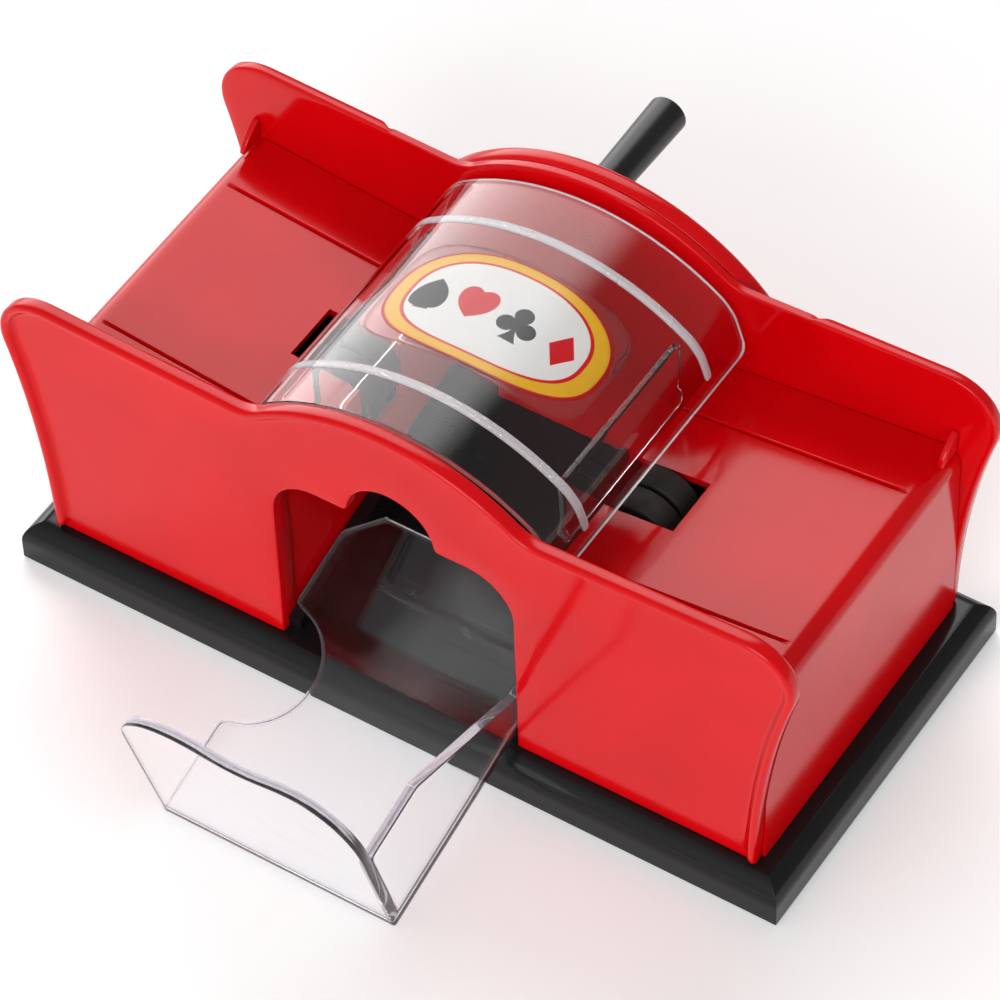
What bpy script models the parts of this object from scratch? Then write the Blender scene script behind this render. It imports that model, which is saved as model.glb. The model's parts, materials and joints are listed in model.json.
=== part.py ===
"""A hand-cranked two-deck card shuffler, modelled as separate pieces.

Cards lie across the trays with their long side along Y. Two rubber rollers under the inner
ends of the trays throw them into the middle bay, and a clear tray slides out of the bay's
front. A crank behind the back wall turns both rollers through a gear train in a D-shaped
housing. The origin is at the middle of the underside, +X to the right, +Z up. Sizes are in
millimetres and become metres where a mesh is made.
"""

import math

import bmesh
import bpy
from mathutils import Matrix, Vector

MM = 0.001
GAP = 0.3

# Base.
BASE_LENGTH, BASE_DEPTH, BASE_HEIGHT = 220.0, 106.0, 12.3
BASE_ROUND = 6.0
BASE_RIM, BASE_SKIN = 7.0, 3.0
COVER_THICK = 2.0
PAD_RADIUS, PAD_X, PAD_Y = 6.0, 90.0, 36.0

# Long walls.
WALL_IN, WALL_THICK, LIP_DEPTH, LIP_WIDTH = 45.0, 2.2, 2.0, 2.6
WALL_OUT = WALL_IN + WALL_THICK
WALL_FOOT = BASE_HEIGHT + GAP
FOOT_X, FLARE_X, FLARE_Z = 101.3, 110.4, 77.0
RIM_OUTER, RIM_INNER = (96.0, 94.0), (43.0, 91.8)
HUMP_RADIUS, HUMP_Z, SHOULDER_RADIUS = 60.3, 45.3, 12.0

# Front opening.
OPEN_HALF, OPEN_TOP, OPEN_CORNER, FINGER_RADIUS = 34.0, 71.2, 12.5, 12.3

# Card trays and the walls under them.
TRAY_OUT_X, TRAY_IN_X, TRAY_THICK = 102.0, 34.5, 2.0
TRAY_OUT_Z, TRAY_SLOPE = 71.4, math.atan(0.112)
LANE_HALF = WALL_IN - GAP
NOTCH_X, NOTCH_HALF, NOTCH_FLOOR = 54.5, 8.6, 45.0
PANEL_THICK = 2.0

# Rollers.
ROLLER_X, ROLLER_Z, TYRE_RADIUS, TYRE_IN, HUB_RADIUS = 43.2, 56.5, 10.0, 6.9, 6.5
TYRE_WIDTH, TYRE_SPACING = 7.1, 8.0
SHAFT_RADIUS, SHAFT_PLAY = 2.0, 0.2

# Gear train: the crank axis, tooth counts and the layer the gears lie in.
CRANK_X, CRANK_Z = 0.0, 48.0
MODULE, PRESSURE, BACKLASH = 1.0, math.radians(20.0), 0.24
TEETH_DRIVE, TEETH_LEFT_IDLER, TEETH_RIGHT_IDLER, TEETH_PINION = 36, 16, 14, 20
GEAR_START, GEAR_WIDTH = 48.0, 3.0
LOWER_IDLER_ANGLE = math.radians(-24.0)

# Gear housing.
HOUSING_START, HOUSING_PLATE, HOUSING_BACK, HOUSING_RIM = 47.5, 51.5, 53.0, 2.2
SCREW_PLACES = {"upper": (39.0, 82.0), "lower": (52.0, 24.0)}

# Crank and knob.
KNOB_X, KNOB_Z = -8.2, 86.4
ARM_START, ARM_END = 54.2, 58.2
CRANK_RADIUS, PIN_RADIUS = 3.0, 2.0
KNOB_START, KNOB_END, KNOB_NEAR_RADIUS, KNOB_FAR_RADIUS = 58.6, 92.0, 4.6, 5.2

# Clear cover.
COVER_RADIUS, COVER_TOP, COVER_HALF, COVER_WALL = 60.0, 101.2, 42.5, 1.8
COVER_ARC_X, FLAP_X, FLAP_Z = 37.0, 42.6, 75.0
STOP_X, STOP_Z, STOP_TOP = 33.5, 67.6, 89.3
RIB_Y, RIB_WIDTH, RIB_HEIGHT, RIB_END_X, RIB_END_Z = 27.5, 2.6, 1.3, 41.6, 78.2
LABEL_HALF_X, LABEL_Y, LABEL_THICK = 31.0, (-17.0, 19.0), 0.4

# Clear receiving tray, in its own tilted frame.
SLED_TILT, SLED_Y, SLED_Z = math.radians(16.0), -100.5, 0.3
SLED_HALF, SLED_LENGTH, SLED_SHEET = 33.3, 91.0, 2.6
SLED_FRONT, SLED_WAVE, SLED_SHOULDERS = 60.7, 1.3, ((-15.0, 44.0), (18.0, 38.0))
SLED_SIDE, SLED_SIDE_BACK = 36.0, 12.0
RAIL_IN, RAIL_OUT = 30.6, 34.2

# name: (base colour, metallic, roughness, transmission)
FINISHES = {
    "red_gloss": ((0.72, 0.004, 0.012), 0.0, 0.18, 0.0),
    "black_gloss": ((0.012, 0.012, 0.013), 0.0, 0.2, 0.0),
    "black_satin": ((0.02, 0.02, 0.021), 0.0, 0.45, 0.0),
    "rubber": ((0.018, 0.018, 0.018), 0.0, 0.8, 0.0),
    "clear": ((0.95, 0.96, 0.97), 0.0, 0.04, 0.9),
    "white_print": ((0.85, 0.85, 0.83), 0.0, 0.35, 0.0),
    "white_nylon": ((0.78, 0.77, 0.72), 0.0, 0.4, 0.0),
    "steel": ((0.55, 0.55, 0.56), 1.0, 0.3, 0.0),
}


def start_scene():
    """Empties the scene and makes the collections for the parts and for their cutters."""
    for obj in list(bpy.data.objects):
        bpy.data.objects.remove(obj)
    parts = bpy.data.collections.new("card_shuffler")
    cutters = bpy.data.collections.new("cutters")
    cutters.hide_render = True
    for collection in (parts, cutters):
        bpy.context.scene.collection.children.link(collection)
    return parts, cutters


PARTS, CUTTERS = start_scene()


# Outlines: lists of 2D points in millimetres.


def arc(centre, radius, start, end, steps):
    """Points on an arc, with angles in degrees from the first axis."""
    angles = [math.radians(start + (end - start) * i / steps) for i in range(steps + 1)]
    return [(centre[0] + radius * math.cos(a), centre[1] + radius * math.sin(a)) for a in angles]


def ellipse(centre, across, up, start, end, steps):
    """Points on an ellipse's arc, with angles in degrees from the first axis."""
    unit = arc((0.0, 0.0), 1.0, start, end, steps)
    return [(centre[0] + across * u, centre[1] + up * v) for u, v in unit]


def circle(radius, steps=24, centre=(0.0, 0.0)):
    return arc(centre, radius, 0.0, 360.0, steps)[:-1]


def box(x0, x1, y0, y1):
    return [(x0, y0), (x1, y0), (x1, y1), (x0, y1)]


def bezier(a, b, c, d, steps):
    """Points on the cubic curve from a to d, without a itself."""
    points = []
    for i in range(1, steps + 1):
        t = i / steps
        weights = ((1 - t) ** 3, 3 * t * (1 - t) ** 2, 3 * t * t * (1 - t), t**3)
        points.append(tuple(sum(w * p[k] for w, p in zip(weights, (a, b, c, d))) for k in (0, 1)))
    return points


def mirrored(right_half):
    """The right half, walked up to the middle line, and its mirror image walked down again."""
    left = [(-x, y) for x, y in reversed(right_half) if abs(x) > 1e-6]
    return right_half + left


def inset(path, distance):
    """The open path moved to its left by a distance."""
    moved = []
    for i, point in enumerate(path):
        before, after = path[max(i - 1, 0)], path[min(i + 1, len(path) - 1)]
        along = Vector((after[0] - before[0], after[1] - before[1])).normalized()
        moved.append((point[0] - along.y * distance, point[1] + along.x * distance))
    return moved


def wall_half():
    """The right half of a long wall's edge, from its foot up over the flare to the hump's top."""
    reach = HUMP_RADIUS + SHOULDER_RADIUS
    shoulder_z = RIM_INNER[1] + SHOULDER_RADIUS
    shoulder_x = math.sqrt(reach**2 - (shoulder_z - HUMP_Z) ** 2)
    turn = math.degrees(math.atan2(shoulder_z - HUMP_Z, shoulder_x))
    flare = (FLARE_X, FLARE_Z)
    points = [(FOOT_X, WALL_FOOT)]
    points += bezier(points[0], (FOOT_X + 0.6, 40.0), (106.0, 62.0), flare, 8)
    points += bezier(flare, (FLARE_X + 2.6, 86.5), (106.5, 94.4), RIM_OUTER, 8)
    points += arc((shoulder_x, shoulder_z), SHOULDER_RADIUS, 270.0, 180.0 + turn, 4)
    points += arc((0.0, HUMP_Z), HUMP_RADIUS, turn, 90.0, 10)[1:]
    points[-1] = (0.0, points[-1][1])
    return points


def opening():
    """The front opening, from its left foot over the finger arch to its right foot."""
    corner = (OPEN_HALF - OPEN_CORNER, OPEN_TOP - OPEN_CORNER)
    half = arc(corner, OPEN_CORNER, 0.0, 90.0, 6) + arc((0.0, OPEN_TOP), FINGER_RADIUS, 0.0, 90.0, 7)
    half[-1] = (0.0, half[-1][1])
    return list(reversed(mirrored([(OPEN_HALF, WALL_FOOT)] + half)))


def housing_outline(shrink):
    """The D-shaped housing seen along Y, made smaller all round by shrink."""
    radius, foot = HUMP_RADIUS - shrink, WALL_FOOT + shrink
    return [(-radius, foot), (radius, foot)] + arc((0.0, HUMP_Z), radius, 0.0, 180.0, 40)


def gear_outline(teeth, phase):
    """Straight-sided teeth through the root and tip points of involute flanks."""
    pitch, roll = MODULE * teeth / 2, MODULE * teeth / 2 * math.cos(PRESSURE)
    tip, root = pitch + 0.8 * MODULE, pitch - 1.0 * MODULE

    def flank(radius):
        angle = math.acos(min(roll / radius, 1.0))
        play = BACKLASH / 2 / pitch
        return math.pi / 2 / teeth - play + math.tan(PRESSURE) - PRESSURE - (math.tan(angle) - angle)

    points = []
    for i in range(teeth):
        middle = phase + 2 * math.pi * i / teeth
        for radius, side in ((root, -1), (tip, -1), (tip, 1), (root, 1)):
            angle = middle + side * flank(radius)
            points.append((radius * math.cos(angle), radius * math.sin(angle)))
    return points


# Solids.


def material(name, finish):
    colour, metallic, roughness, transmission = FINISHES[finish]
    made = bpy.data.materials.new(name + "_" + finish)
    made.use_nodes = True
    made.diffuse_color = (*colour, 1.0)
    shader = made.node_tree.nodes["Principled BSDF"].inputs
    shader["Base Color"].default_value = (*colour, 1.0)
    shader["Metallic"].default_value = metallic
    shader["Roughness"].default_value = roughness
    shader["Transmission Weight"].default_value = transmission
    return made


def add_object(name, mesh, finish, parent=None):
    """A new part, or a cutter where finish is None."""
    obj = bpy.data.objects.new(name, mesh)
    if finish is None:
        CUTTERS.objects.link(obj)
        obj.hide_render = True
        obj.display_type = "WIRE"
    else:
        PARTS.objects.link(obj)
        mesh.materials.append(material(name, finish))
    obj.parent = parent
    return obj


TURN = {
    "XY": Matrix.Identity(4),
    "XZ": Matrix.Rotation(math.pi / 2, 4, "X"),
    "YZ": Matrix.Rotation(math.pi / 2, 4, "Z") @ Matrix.Rotation(math.pi / 2, 4, "X"),
}


def plate(name, finish, loops, plane, start, thickness, at=(0.0, 0.0), parent=None):
    """A flat outline with holes, given thickness along the third axis from start on.

    The outline's own origin lies at the point at in the plane, so a wheel turns about it.
    """
    curve = bpy.data.curves.new(name, "CURVE")
    curve.dimensions = "2D"
    curve.fill_mode = "BOTH"
    curve.extrude = thickness / 2 * MM
    for loop in loops:
        spline = curve.splines.new("POLY")
        spline.points.add(len(loop) - 1)
        spline.use_cyclic_u = True
        for point, (x, y) in zip(spline.points, loop):
            point.co = (x * MM, y * MM, 0.0, 1.0)
    flat = bpy.data.objects.new(name + "_curve", curve)
    bpy.context.scene.collection.objects.link(flat)
    bpy.context.view_layer.update()
    mesh = bpy.data.meshes.new_from_object(flat.evaluated_get(bpy.context.evaluated_depsgraph_get()))
    bpy.data.objects.remove(flat)
    bpy.data.curves.remove(curve)
    bm = bmesh.new()
    bm.from_mesh(mesh)
    bmesh.ops.remove_doubles(bm, verts=bm.verts, dist=1e-6)
    bmesh.ops.recalc_face_normals(bm, faces=bm.faces)
    bm.to_mesh(mesh)
    bm.free()
    mesh.name = name
    mesh.set_sharp_from_angle(angle=math.radians(35.0))
    obj = add_object(name, mesh, finish, parent)
    middle = start + thickness / 2
    place = {"XY": (*at, middle), "XZ": (at[0], middle, at[1]), "YZ": (middle, *at)}[plane]
    obj.matrix_local = Matrix.Translation(Vector(place) * MM) @ TURN[plane]
    return obj


def turned(name, finish, profile, at, steps=20, parent=None):
    """A solid turned about an axis along Y. The profile is (radius, y), from the far end down."""
    mesh = bpy.data.meshes.new(name)
    points = [(radius * MM, 0.0, y * MM) for radius, y in profile]
    mesh.from_pydata(points, [(i, i + 1) for i in range(len(points) - 1)], [])
    obj = add_object(name, mesh, finish, parent)
    obj.matrix_local = Matrix.Translation(Vector((at[0], 0.0, at[1])) * MM) @ Matrix.Rotation(
        -math.pi / 2, 4, "X"
    )
    screw = obj.modifiers.new("turn", "SCREW")
    screw.steps = screw.render_steps = steps
    screw.use_merge_vertices = True
    screw.merge_threshold = 0.00001
    return obj


def combine(obj, other, operation):
    modifier = obj.modifiers.new(other.name, "BOOLEAN")
    modifier.operation = operation
    modifier.object = other
    return obj


def rod(name, finish, radius, y0, y1, at, parent=None):
    return plate(name, finish, [circle(radius, 20)], "XZ", y0, y1 - y0, at, parent)


def ring(name, finish, outer, inner, y0, y1, at, parent=None):
    return plate(name, finish, [circle(outer), circle(inner, 20)], "XZ", y0, y1 - y0, at, parent)


# Base.


def base():
    """The black plinth: a block with a large round-over, hollow underneath."""
    bm = bmesh.new()
    bmesh.ops.create_cube(bm, size=1.0)
    size = Vector((BASE_LENGTH, BASE_DEPTH, BASE_HEIGHT)) * MM
    bmesh.ops.scale(bm, vec=size, verts=bm.verts)
    bmesh.ops.translate(bm, vec=(0.0, 0.0, size.z / 2), verts=bm.verts)
    top = [edge for edge in bm.edges if all(vert.co.z > size.z / 2 for vert in edge.verts)]
    bmesh.ops.bevel(bm, geom=top, offset=BASE_ROUND * MM, segments=6, profile=0.5, affect="EDGES")
    mesh = bpy.data.meshes.new("base")
    bm.to_mesh(mesh)
    bm.free()
    plinth = add_object("base", mesh, "black_gloss")
    x, y = BASE_LENGTH / 2 - BASE_RIM, BASE_DEPTH / 2 - BASE_RIM
    hollow = plate("base_hollow", None, [box(-x, x, -y, y)], "XY", -5.0, 5.0 + BASE_HEIGHT - BASE_SKIN)
    combine(plinth, hollow, "DIFFERENCE")


def bottom_cover():
    """The plate that closes the base, with a hole for each rubber pad."""
    x, y = BASE_LENGTH / 2 - BASE_RIM - GAP, BASE_DEPTH / 2 - BASE_RIM - GAP
    loops = [box(-x, x, -y, y)]
    for side in ("left", "right"):
        for end in ("front", "back"):
            at = (PAD_X * (1 if side == "right" else -1), PAD_Y * (1 if end == "back" else -1))
            loops.append(circle(PAD_RADIUS + GAP, 24, at))
            name = "pad_" + end + "_" + side
            plate(name, "rubber", [circle(PAD_RADIUS)], "XY", 0.0, COVER_THICK, at)
    plate("base_bottom_cover", "black_satin", loops, "XY", 0.0, COVER_THICK)


# Body.


def lip(name, path, outer_face, outward):
    """The rolled edge along a wall's rim, as a band that overlaps the wall a little."""
    start = outer_face - 0.5 if outward > 0 else outer_face - LIP_DEPTH
    return plate(name, None, [path + inset(path, LIP_WIDTH)[::-1]], "XZ", start, LIP_DEPTH + 0.5)


def front_wall():
    rim = mirrored(wall_half())
    wall = plate("front_wall", "red_gloss", [rim + opening()], "XZ", -WALL_OUT, WALL_THICK)
    combine(wall, lip("front_lip", rim, -WALL_OUT, -1), "UNION")


def back_wall():
    """The rear wall, whose rolled edge stops where the gear housing starts."""
    half = wall_half()
    holes = [circle(4.6, 24, (CRANK_X, CRANK_Z))]
    holes += [circle(3.6, 24, (side * ROLLER_X, ROLLER_Z)) for side in (-1, 1)]
    wall = plate("back_wall", "red_gloss", [mirrored(half)] + holes, "XZ", WALL_IN, WALL_THICK)
    outside = [point for point in half if point[0] > HUMP_RADIUS + 3.0]
    outside.append((HUMP_RADIUS + 1.0, outside[-1][1] - 1.4))
    left = [(-x, y) for x, y in reversed(outside)]
    combine(wall, lip("back_lip_right", outside, WALL_OUT, 1), "UNION")
    combine(wall, lip("back_lip_left", left, WALL_OUT, 1), "UNION")


def tray_top(x):
    """Height of a card tray's upper face at the distance x from the middle."""
    return TRAY_OUT_Z - (TRAY_OUT_X - x) * math.tan(TRAY_SLOPE)


def tray_under(x):
    return tray_top(x) - TRAY_THICK / math.cos(TRAY_SLOPE)


def deck_side(side, sign):
    """One card tray with the panel at its end and the wall beside the bay."""
    slant = 1 / math.cos(TRAY_SLOPE)
    length, notch = (TRAY_OUT_X - TRAY_IN_X) * slant, (NOTCH_X - TRAY_IN_X) * slant
    outline = [(0.0, NOTCH_HALF), (0.0, LANE_HALF), (length, LANE_HALF), (length, -LANE_HALF)]
    outline += [(0.0, -LANE_HALF), (0.0, -NOTCH_HALF), (notch, -NOTCH_HALF), (notch, NOTCH_HALF)]
    tray = plate(
        side + "_card_tray",
        "red_gloss",
        [[(sign * x, y) for x, y in outline]],
        "XY",
        -TRAY_THICK,
        TRAY_THICK,
    )
    place = Matrix.Translation(Vector((sign * TRAY_IN_X, 0.0, tray_top(TRAY_IN_X))) * MM)
    tilt = Matrix.Rotation(-sign * TRAY_SLOPE, 4, "Y")
    tray.matrix_local = place @ tilt @ tray.matrix_local

    panel = box(-LANE_HALF, LANE_HALF, WALL_FOOT, tray_under(TRAY_OUT_X - PANEL_THICK) - GAP)
    start = TRAY_OUT_X - PANEL_THICK if sign > 0 else -TRAY_OUT_X
    plate(side + "_end_panel", "red_gloss", [panel], "YZ", start, PANEL_THICK)

    top = tray_under(TRAY_IN_X) - GAP
    chute = [(-LANE_HALF, WALL_FOOT), (LANE_HALF, WALL_FOOT), (LANE_HALF, top), (NOTCH_HALF, top)]
    chute += [(NOTCH_HALF, NOTCH_FLOOR), (-NOTCH_HALF, NOTCH_FLOOR), (-NOTCH_HALF, top)]
    chute += [(-LANE_HALF, top)]
    start = TRAY_IN_X if sign > 0 else -TRAY_IN_X - PANEL_THICK
    plate(side + "_chute_wall", "red_gloss", [chute], "YZ", start, PANEL_THICK)


# Rollers and gears.


def axle_empty(name, x, y, z):
    empty = bpy.data.objects.new(name, None)
    empty.location = Vector((x, y, z)) * MM
    empty.empty_display_size = 0.01
    PARTS.objects.link(empty)
    return empty


def roller(side, sign, pinion_phase):
    """A shaft with its hub, two rubber tyres and pinion, all turning about one axis."""
    axis = axle_empty(side + "_roller_axis", sign * ROLLER_X, 0.0, ROLLER_Z)
    bore = SHAFT_RADIUS + SHAFT_PLAY + 0.1
    here = (0.0, 0.0)
    rod(side + "_roller_shaft", "steel", SHAFT_RADIUS, -43.0, GEAR_START + GEAR_WIDTH, here, axis)
    ring(side + "_roller_hub", "black_satin", HUB_RADIUS, bore, -TYRE_SPACING, TYRE_SPACING, here, axis)
    for end, middle in (("front", -TYRE_SPACING / 2), ("back", TYRE_SPACING / 2)):
        y0, y1 = middle - TYRE_WIDTH / 2, middle + TYRE_WIDTH / 2
        ring(side + "_tyre_" + end, "rubber", TYRE_RADIUS, TYRE_IN, y0, y1, here, axis)
    gear(side + "_pinion", TEETH_PINION, pinion_phase, bore, here, axis)


def gear(name, teeth, phase, bore, at, parent=None):
    loops = [gear_outline(teeth, phase), circle(bore, 20)]
    return plate(name, "white_nylon", loops, "XZ", GEAR_START, GEAR_WIDTH, at, parent)


def meshed(driver, place, teeth):
    """A gear (place, teeth, phase) with a gap facing the driver's tooth where the two meet."""
    (x, z), driver_teeth, driver_phase = driver
    angle = math.atan2(place[1] - z, place[0] - x)
    pitches = (angle - driver_phase) * driver_teeth / (2 * math.pi)
    return place, teeth, angle + math.pi + 2 * math.pi / teeth * (pitches - 0.5)


def reach(start, end, from_start, from_end):
    """The point at both distances, on the side below the line from start to end."""
    span = math.dist(start, end)
    along = (from_start**2 - from_end**2 + span**2) / (2 * span)
    aside = math.sqrt(from_start**2 - along**2)
    ux, uz = (end[0] - start[0]) / span, (end[1] - start[1]) / span
    return start[0] + along * ux + aside * uz, start[1] + along * uz - aside * ux


def gear_train():
    """Drive gear, one idler to the left roller and two to the right, so they turn inwards."""
    drive = ((CRANK_X, CRANK_Z), TEETH_DRIVE, 0.0)
    left_at, right_at = (-ROLLER_X, ROLLER_Z), (ROLLER_X, ROLLER_Z)
    drive_r, left_r = TEETH_DRIVE * MODULE / 2, TEETH_LEFT_IDLER * MODULE / 2
    small_r, pinion_r = TEETH_RIGHT_IDLER * MODULE / 2, TEETH_PINION * MODULE / 2
    share = (drive_r + left_r) / (drive_r + 2 * left_r + pinion_r)
    left_place = tuple(a + (b - a) * share for a, b in zip(drive[0], left_at))
    inner_place = (
        CRANK_X + (drive_r + small_r) * math.cos(LOWER_IDLER_ANGLE),
        CRANK_Z + (drive_r + small_r) * math.sin(LOWER_IDLER_ANGLE),
    )
    outer_place = reach(inner_place, right_at, 2 * small_r, small_r + pinion_r)
    left = meshed(drive, left_place, TEETH_LEFT_IDLER)
    inner = meshed(drive, inner_place, TEETH_RIGHT_IDLER)
    outer = meshed(inner, outer_place, TEETH_RIGHT_IDLER)
    idlers = {"left_idler_gear": left, "right_idler_gear_inner": inner, "right_idler_gear_outer": outer}
    for name, (place, teeth, phase) in idlers.items():
        axis = axle_empty(name + "_axis", place[0], 0.0, place[1])
        gear(name, teeth, phase, SHAFT_RADIUS + SHAFT_PLAY, (0.0, 0.0), axis)
        rod(name.replace("gear", "pin"), "steel", SHAFT_RADIUS, HOUSING_START, HOUSING_PLATE - GAP, place)
    roller("left", -1, meshed(left, left_at, TEETH_PINION)[2])
    roller("right", 1, meshed(outer, right_at, TEETH_PINION)[2])


def bearings():
    """Bushes in the back wall and boss blocks on the front wall, which hold the shafts."""
    for side, sign in (("left", -1), ("right", 1)):
        at = (sign * ROLLER_X, ROLLER_Z)
        ring(side + "_shaft_bush", "white_nylon", 3.3, SHAFT_RADIUS + SHAFT_PLAY, WALL_IN, WALL_OUT, at)
        start = -WALL_IN + GAP
        ring(side + "_front_bearing", "red_gloss", 4.6, SHAFT_RADIUS + SHAFT_PLAY, start, start + 3.7, at)
    ring("crank_bush", "white_nylon", 4.3, CRANK_RADIUS + 0.2, WALL_IN, WALL_OUT, (CRANK_X, CRANK_Z))


def gear_housing():
    """The D-shaped shell on the back wall, with its four screws."""
    places = {
        end + "_" + side: (sign * x, z)
        for end, (x, z) in SCREW_PLACES.items()
        for side, sign in (("left", -1), ("right", 1))
    }
    holes = [circle(1.7, 16, at) for at in places.values()]
    holes.append(circle(CRANK_RADIUS + 0.5, 24, (CRANK_X, CRANK_Z)))
    depth = HOUSING_BACK - HOUSING_START
    loops = [housing_outline(0.0)] + holes
    shell = plate("gear_housing", "red_gloss", loops, "XZ", HOUSING_START, depth)
    inside = [housing_outline(HOUSING_RIM)]
    hollow = plate("housing_hollow", None, inside, "XZ", HOUSING_START - 2.0, HOUSING_PLATE - HOUSING_START + 2.0)
    combine(shell, hollow, "DIFFERENCE")
    head = HOUSING_BACK + GAP
    profile = [(0.0, head + 1.4), (1.8, head + 1.3), (2.8, head + 0.5), (2.8, head)]
    profile += [(1.3, head), (1.3, HOUSING_START + GAP), (0.0, HOUSING_START + GAP)]
    for name, at in places.items():
        turned("housing_screw_" + name, "steel", profile, at, 16)


def crank():
    """Shaft, drive gear, arm and knob, with the arm standing nearly upright."""
    axis = axle_empty("crank_axis", CRANK_X, 0.0, CRANK_Z)
    here = (0.0, 0.0)
    rod("crank_shaft", "steel", CRANK_RADIUS, WALL_IN + GAP, ARM_END - GAP, here, axis)
    gear("drive_gear", TEETH_DRIVE, 0.0, CRANK_RADIUS + 0.2, here, axis)
    knob_at = (KNOB_X - CRANK_X, KNOB_Z - CRANK_Z)
    lean = math.degrees(math.atan2(knob_at[1], knob_at[0]))
    outline = arc(knob_at, 5.2, lean - 90.0, lean + 90.0, 12)
    outline += arc(here, 6.4, lean + 90.0, lean + 270.0, 12)
    holes = [circle(CRANK_RADIUS + 0.2), circle(PIN_RADIUS + 0.2, 20, knob_at)]
    depth = ARM_END - ARM_START
    plate("crank_arm", "black_satin", [outline] + holes, "XZ", ARM_START, depth, here, axis)
    cap = [(0.0, ARM_END + 2.2), (2.6, ARM_END + 1.9), (4.2, ARM_END + 0.9)]
    cap += [(4.2, ARM_END + GAP), (0.0, ARM_END + GAP)]
    turned("crank_screw", "steel", cap, here, 20, axis)

    knob_axis = axle_empty("knob_axis", *(KNOB_X, 0.0, KNOB_Z))
    rod("knob_pin", "steel", PIN_RADIUS, ARM_START + GAP, KNOB_END - 8.0, knob_at, axis)
    bore = PIN_RADIUS + 0.25
    profile = [(0.0, KNOB_END), (KNOB_FAR_RADIUS - 0.6, KNOB_END), (KNOB_FAR_RADIUS, KNOB_END - 0.6)]
    profile += [(KNOB_NEAR_RADIUS, KNOB_START + 0.4), (KNOB_NEAR_RADIUS - 0.4, KNOB_START)]
    profile += [(bore, KNOB_START), (bore, KNOB_END - 7.0), (0.0, KNOB_END - 7.0)]
    turned("crank_knob", "black_satin", profile, here, 24, knob_axis)


# Cover and receiving tray.


def cover_path():
    """The cover's outer face seen along Y: right flap, arch and left flap."""
    centre_z = COVER_TOP - COVER_RADIUS
    turn = math.degrees(math.acos(COVER_ARC_X / COVER_RADIUS))
    right = [(FLAP_X, FLAP_Z), (COVER_ARC_X + 2.4, COVER_TOP - 16.0)]
    right += arc((0.0, centre_z), COVER_RADIUS, turn, 90.0, 12)
    right[-1] = (0.0, COVER_TOP)
    return mirrored(right)


def top_cover():
    """The clear arched cover, with two ribs on top and a stop lip above each roller."""
    lift = axle_empty("cover_lift", 0.0, 0.0, 0.0)
    outer = cover_path()
    under = inset(outer, COVER_WALL)[::-1]
    width = 2 * COVER_HALF
    shell = plate("top_cover", "clear", [outer + under], "XZ", -COVER_HALF, width, (0.0, 0.0), lift)
    for side, sign in (("left", -1), ("right", 1)):
        x0 = STOP_X if sign > 0 else -STOP_X - COVER_WALL
        stop = box(x0, x0 + COVER_WALL, STOP_Z, STOP_TOP)
        lip_solid = plate(side + "_stop", None, [stop], "XZ", -26.0, 52.0, (0.0, 0.0), lift)
        combine(shell, lip_solid, "UNION")
    crest = [(RIB_END_X, RIB_END_Z)] + outer[1:-1] + [(-RIB_END_X, RIB_END_Z)]
    ridge = inset(crest, -RIB_HEIGHT) + inset(crest, COVER_WALL / 2)[::-1]
    for end, sign in (("front", -1), ("back", 1)):
        start = sign * RIB_Y - RIB_WIDTH / 2
        rib = plate(end + "_rib", None, [ridge], "XZ", start, RIB_WIDTH, (0.0, 0.0), lift)
        combine(shell, rib, "UNION")

    turn = math.degrees(math.asin(LABEL_HALF_X / COVER_RADIUS))
    centre = (0.0, COVER_TOP - COVER_RADIUS)
    near, far = COVER_RADIUS + GAP, COVER_RADIUS + GAP + LABEL_THICK
    band = arc(centre, far, 90.0 - turn, 90.0 + turn, 16) + arc(centre, near, 90.0 + turn, 90.0 - turn, 16)
    depth = LABEL_Y[1] - LABEL_Y[0]
    plate("cover_label", "white_print", [band], "XZ", LABEL_Y[0], depth, (0.0, 0.0), lift)


def receiving_tray():
    """The clear sled: floor with a finger cut-out, front wall and right-hand wall."""
    sled = axle_empty("receiving_tray_slide", 0.0, SLED_Y, SLED_Z)
    sled.rotation_euler = (SLED_TILT, 0.0, 0.0)
    half, sheet, length = SLED_HALF, SLED_SHEET, SLED_LENGTH
    floor = [(-half, 0.0), (half, 0.0), (half, length), (-half + 8.0, length), (-half, length - 8.0)]
    floor += [(-half, 61.0)] + arc((-half - 1.5, 43.5), 17.2, 72.0, -72.0, 14) + [(-half, 26.0)]
    tray = plate("receiving_tray", "clear", [floor], "XY", 0.0, sheet, (0.0, 0.0), sled)
    (left, left_z), (right, right_z) = SLED_SHOULDERS
    front = [(-half, 0.0), (half, 0.0)]
    front += ellipse((right, right_z), half - right, SLED_FRONT - right_z, 0.0, 90.0, 8)
    for i in range(1, 8):
        turn = 2.0 * math.pi * i / 8
        front.append((right + (left - right) * i / 8, SLED_FRONT - SLED_WAVE * (1.0 - math.cos(turn))))
    front += ellipse((left, left_z), half + left, SLED_FRONT - left_z, 90.0, 180.0, 8)
    side = [(0.0, 0.0), (length - 0.4, 0.0), (length - 0.4, 8.0), (61.0, SLED_SIDE_BACK)]
    side += [(23.0, SLED_SIDE), (0.0, SLED_SIDE)]
    front_solid = plate("sled_front", None, [front], "XZ", 0.0, sheet, (0.0, 0.0), sled)
    side_solid = plate("sled_side", None, [side], "YZ", half - sheet, sheet, (0.0, 0.0), sled)
    combine(tray, front_solid, "UNION")
    combine(tray, side_solid, "UNION")


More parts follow.
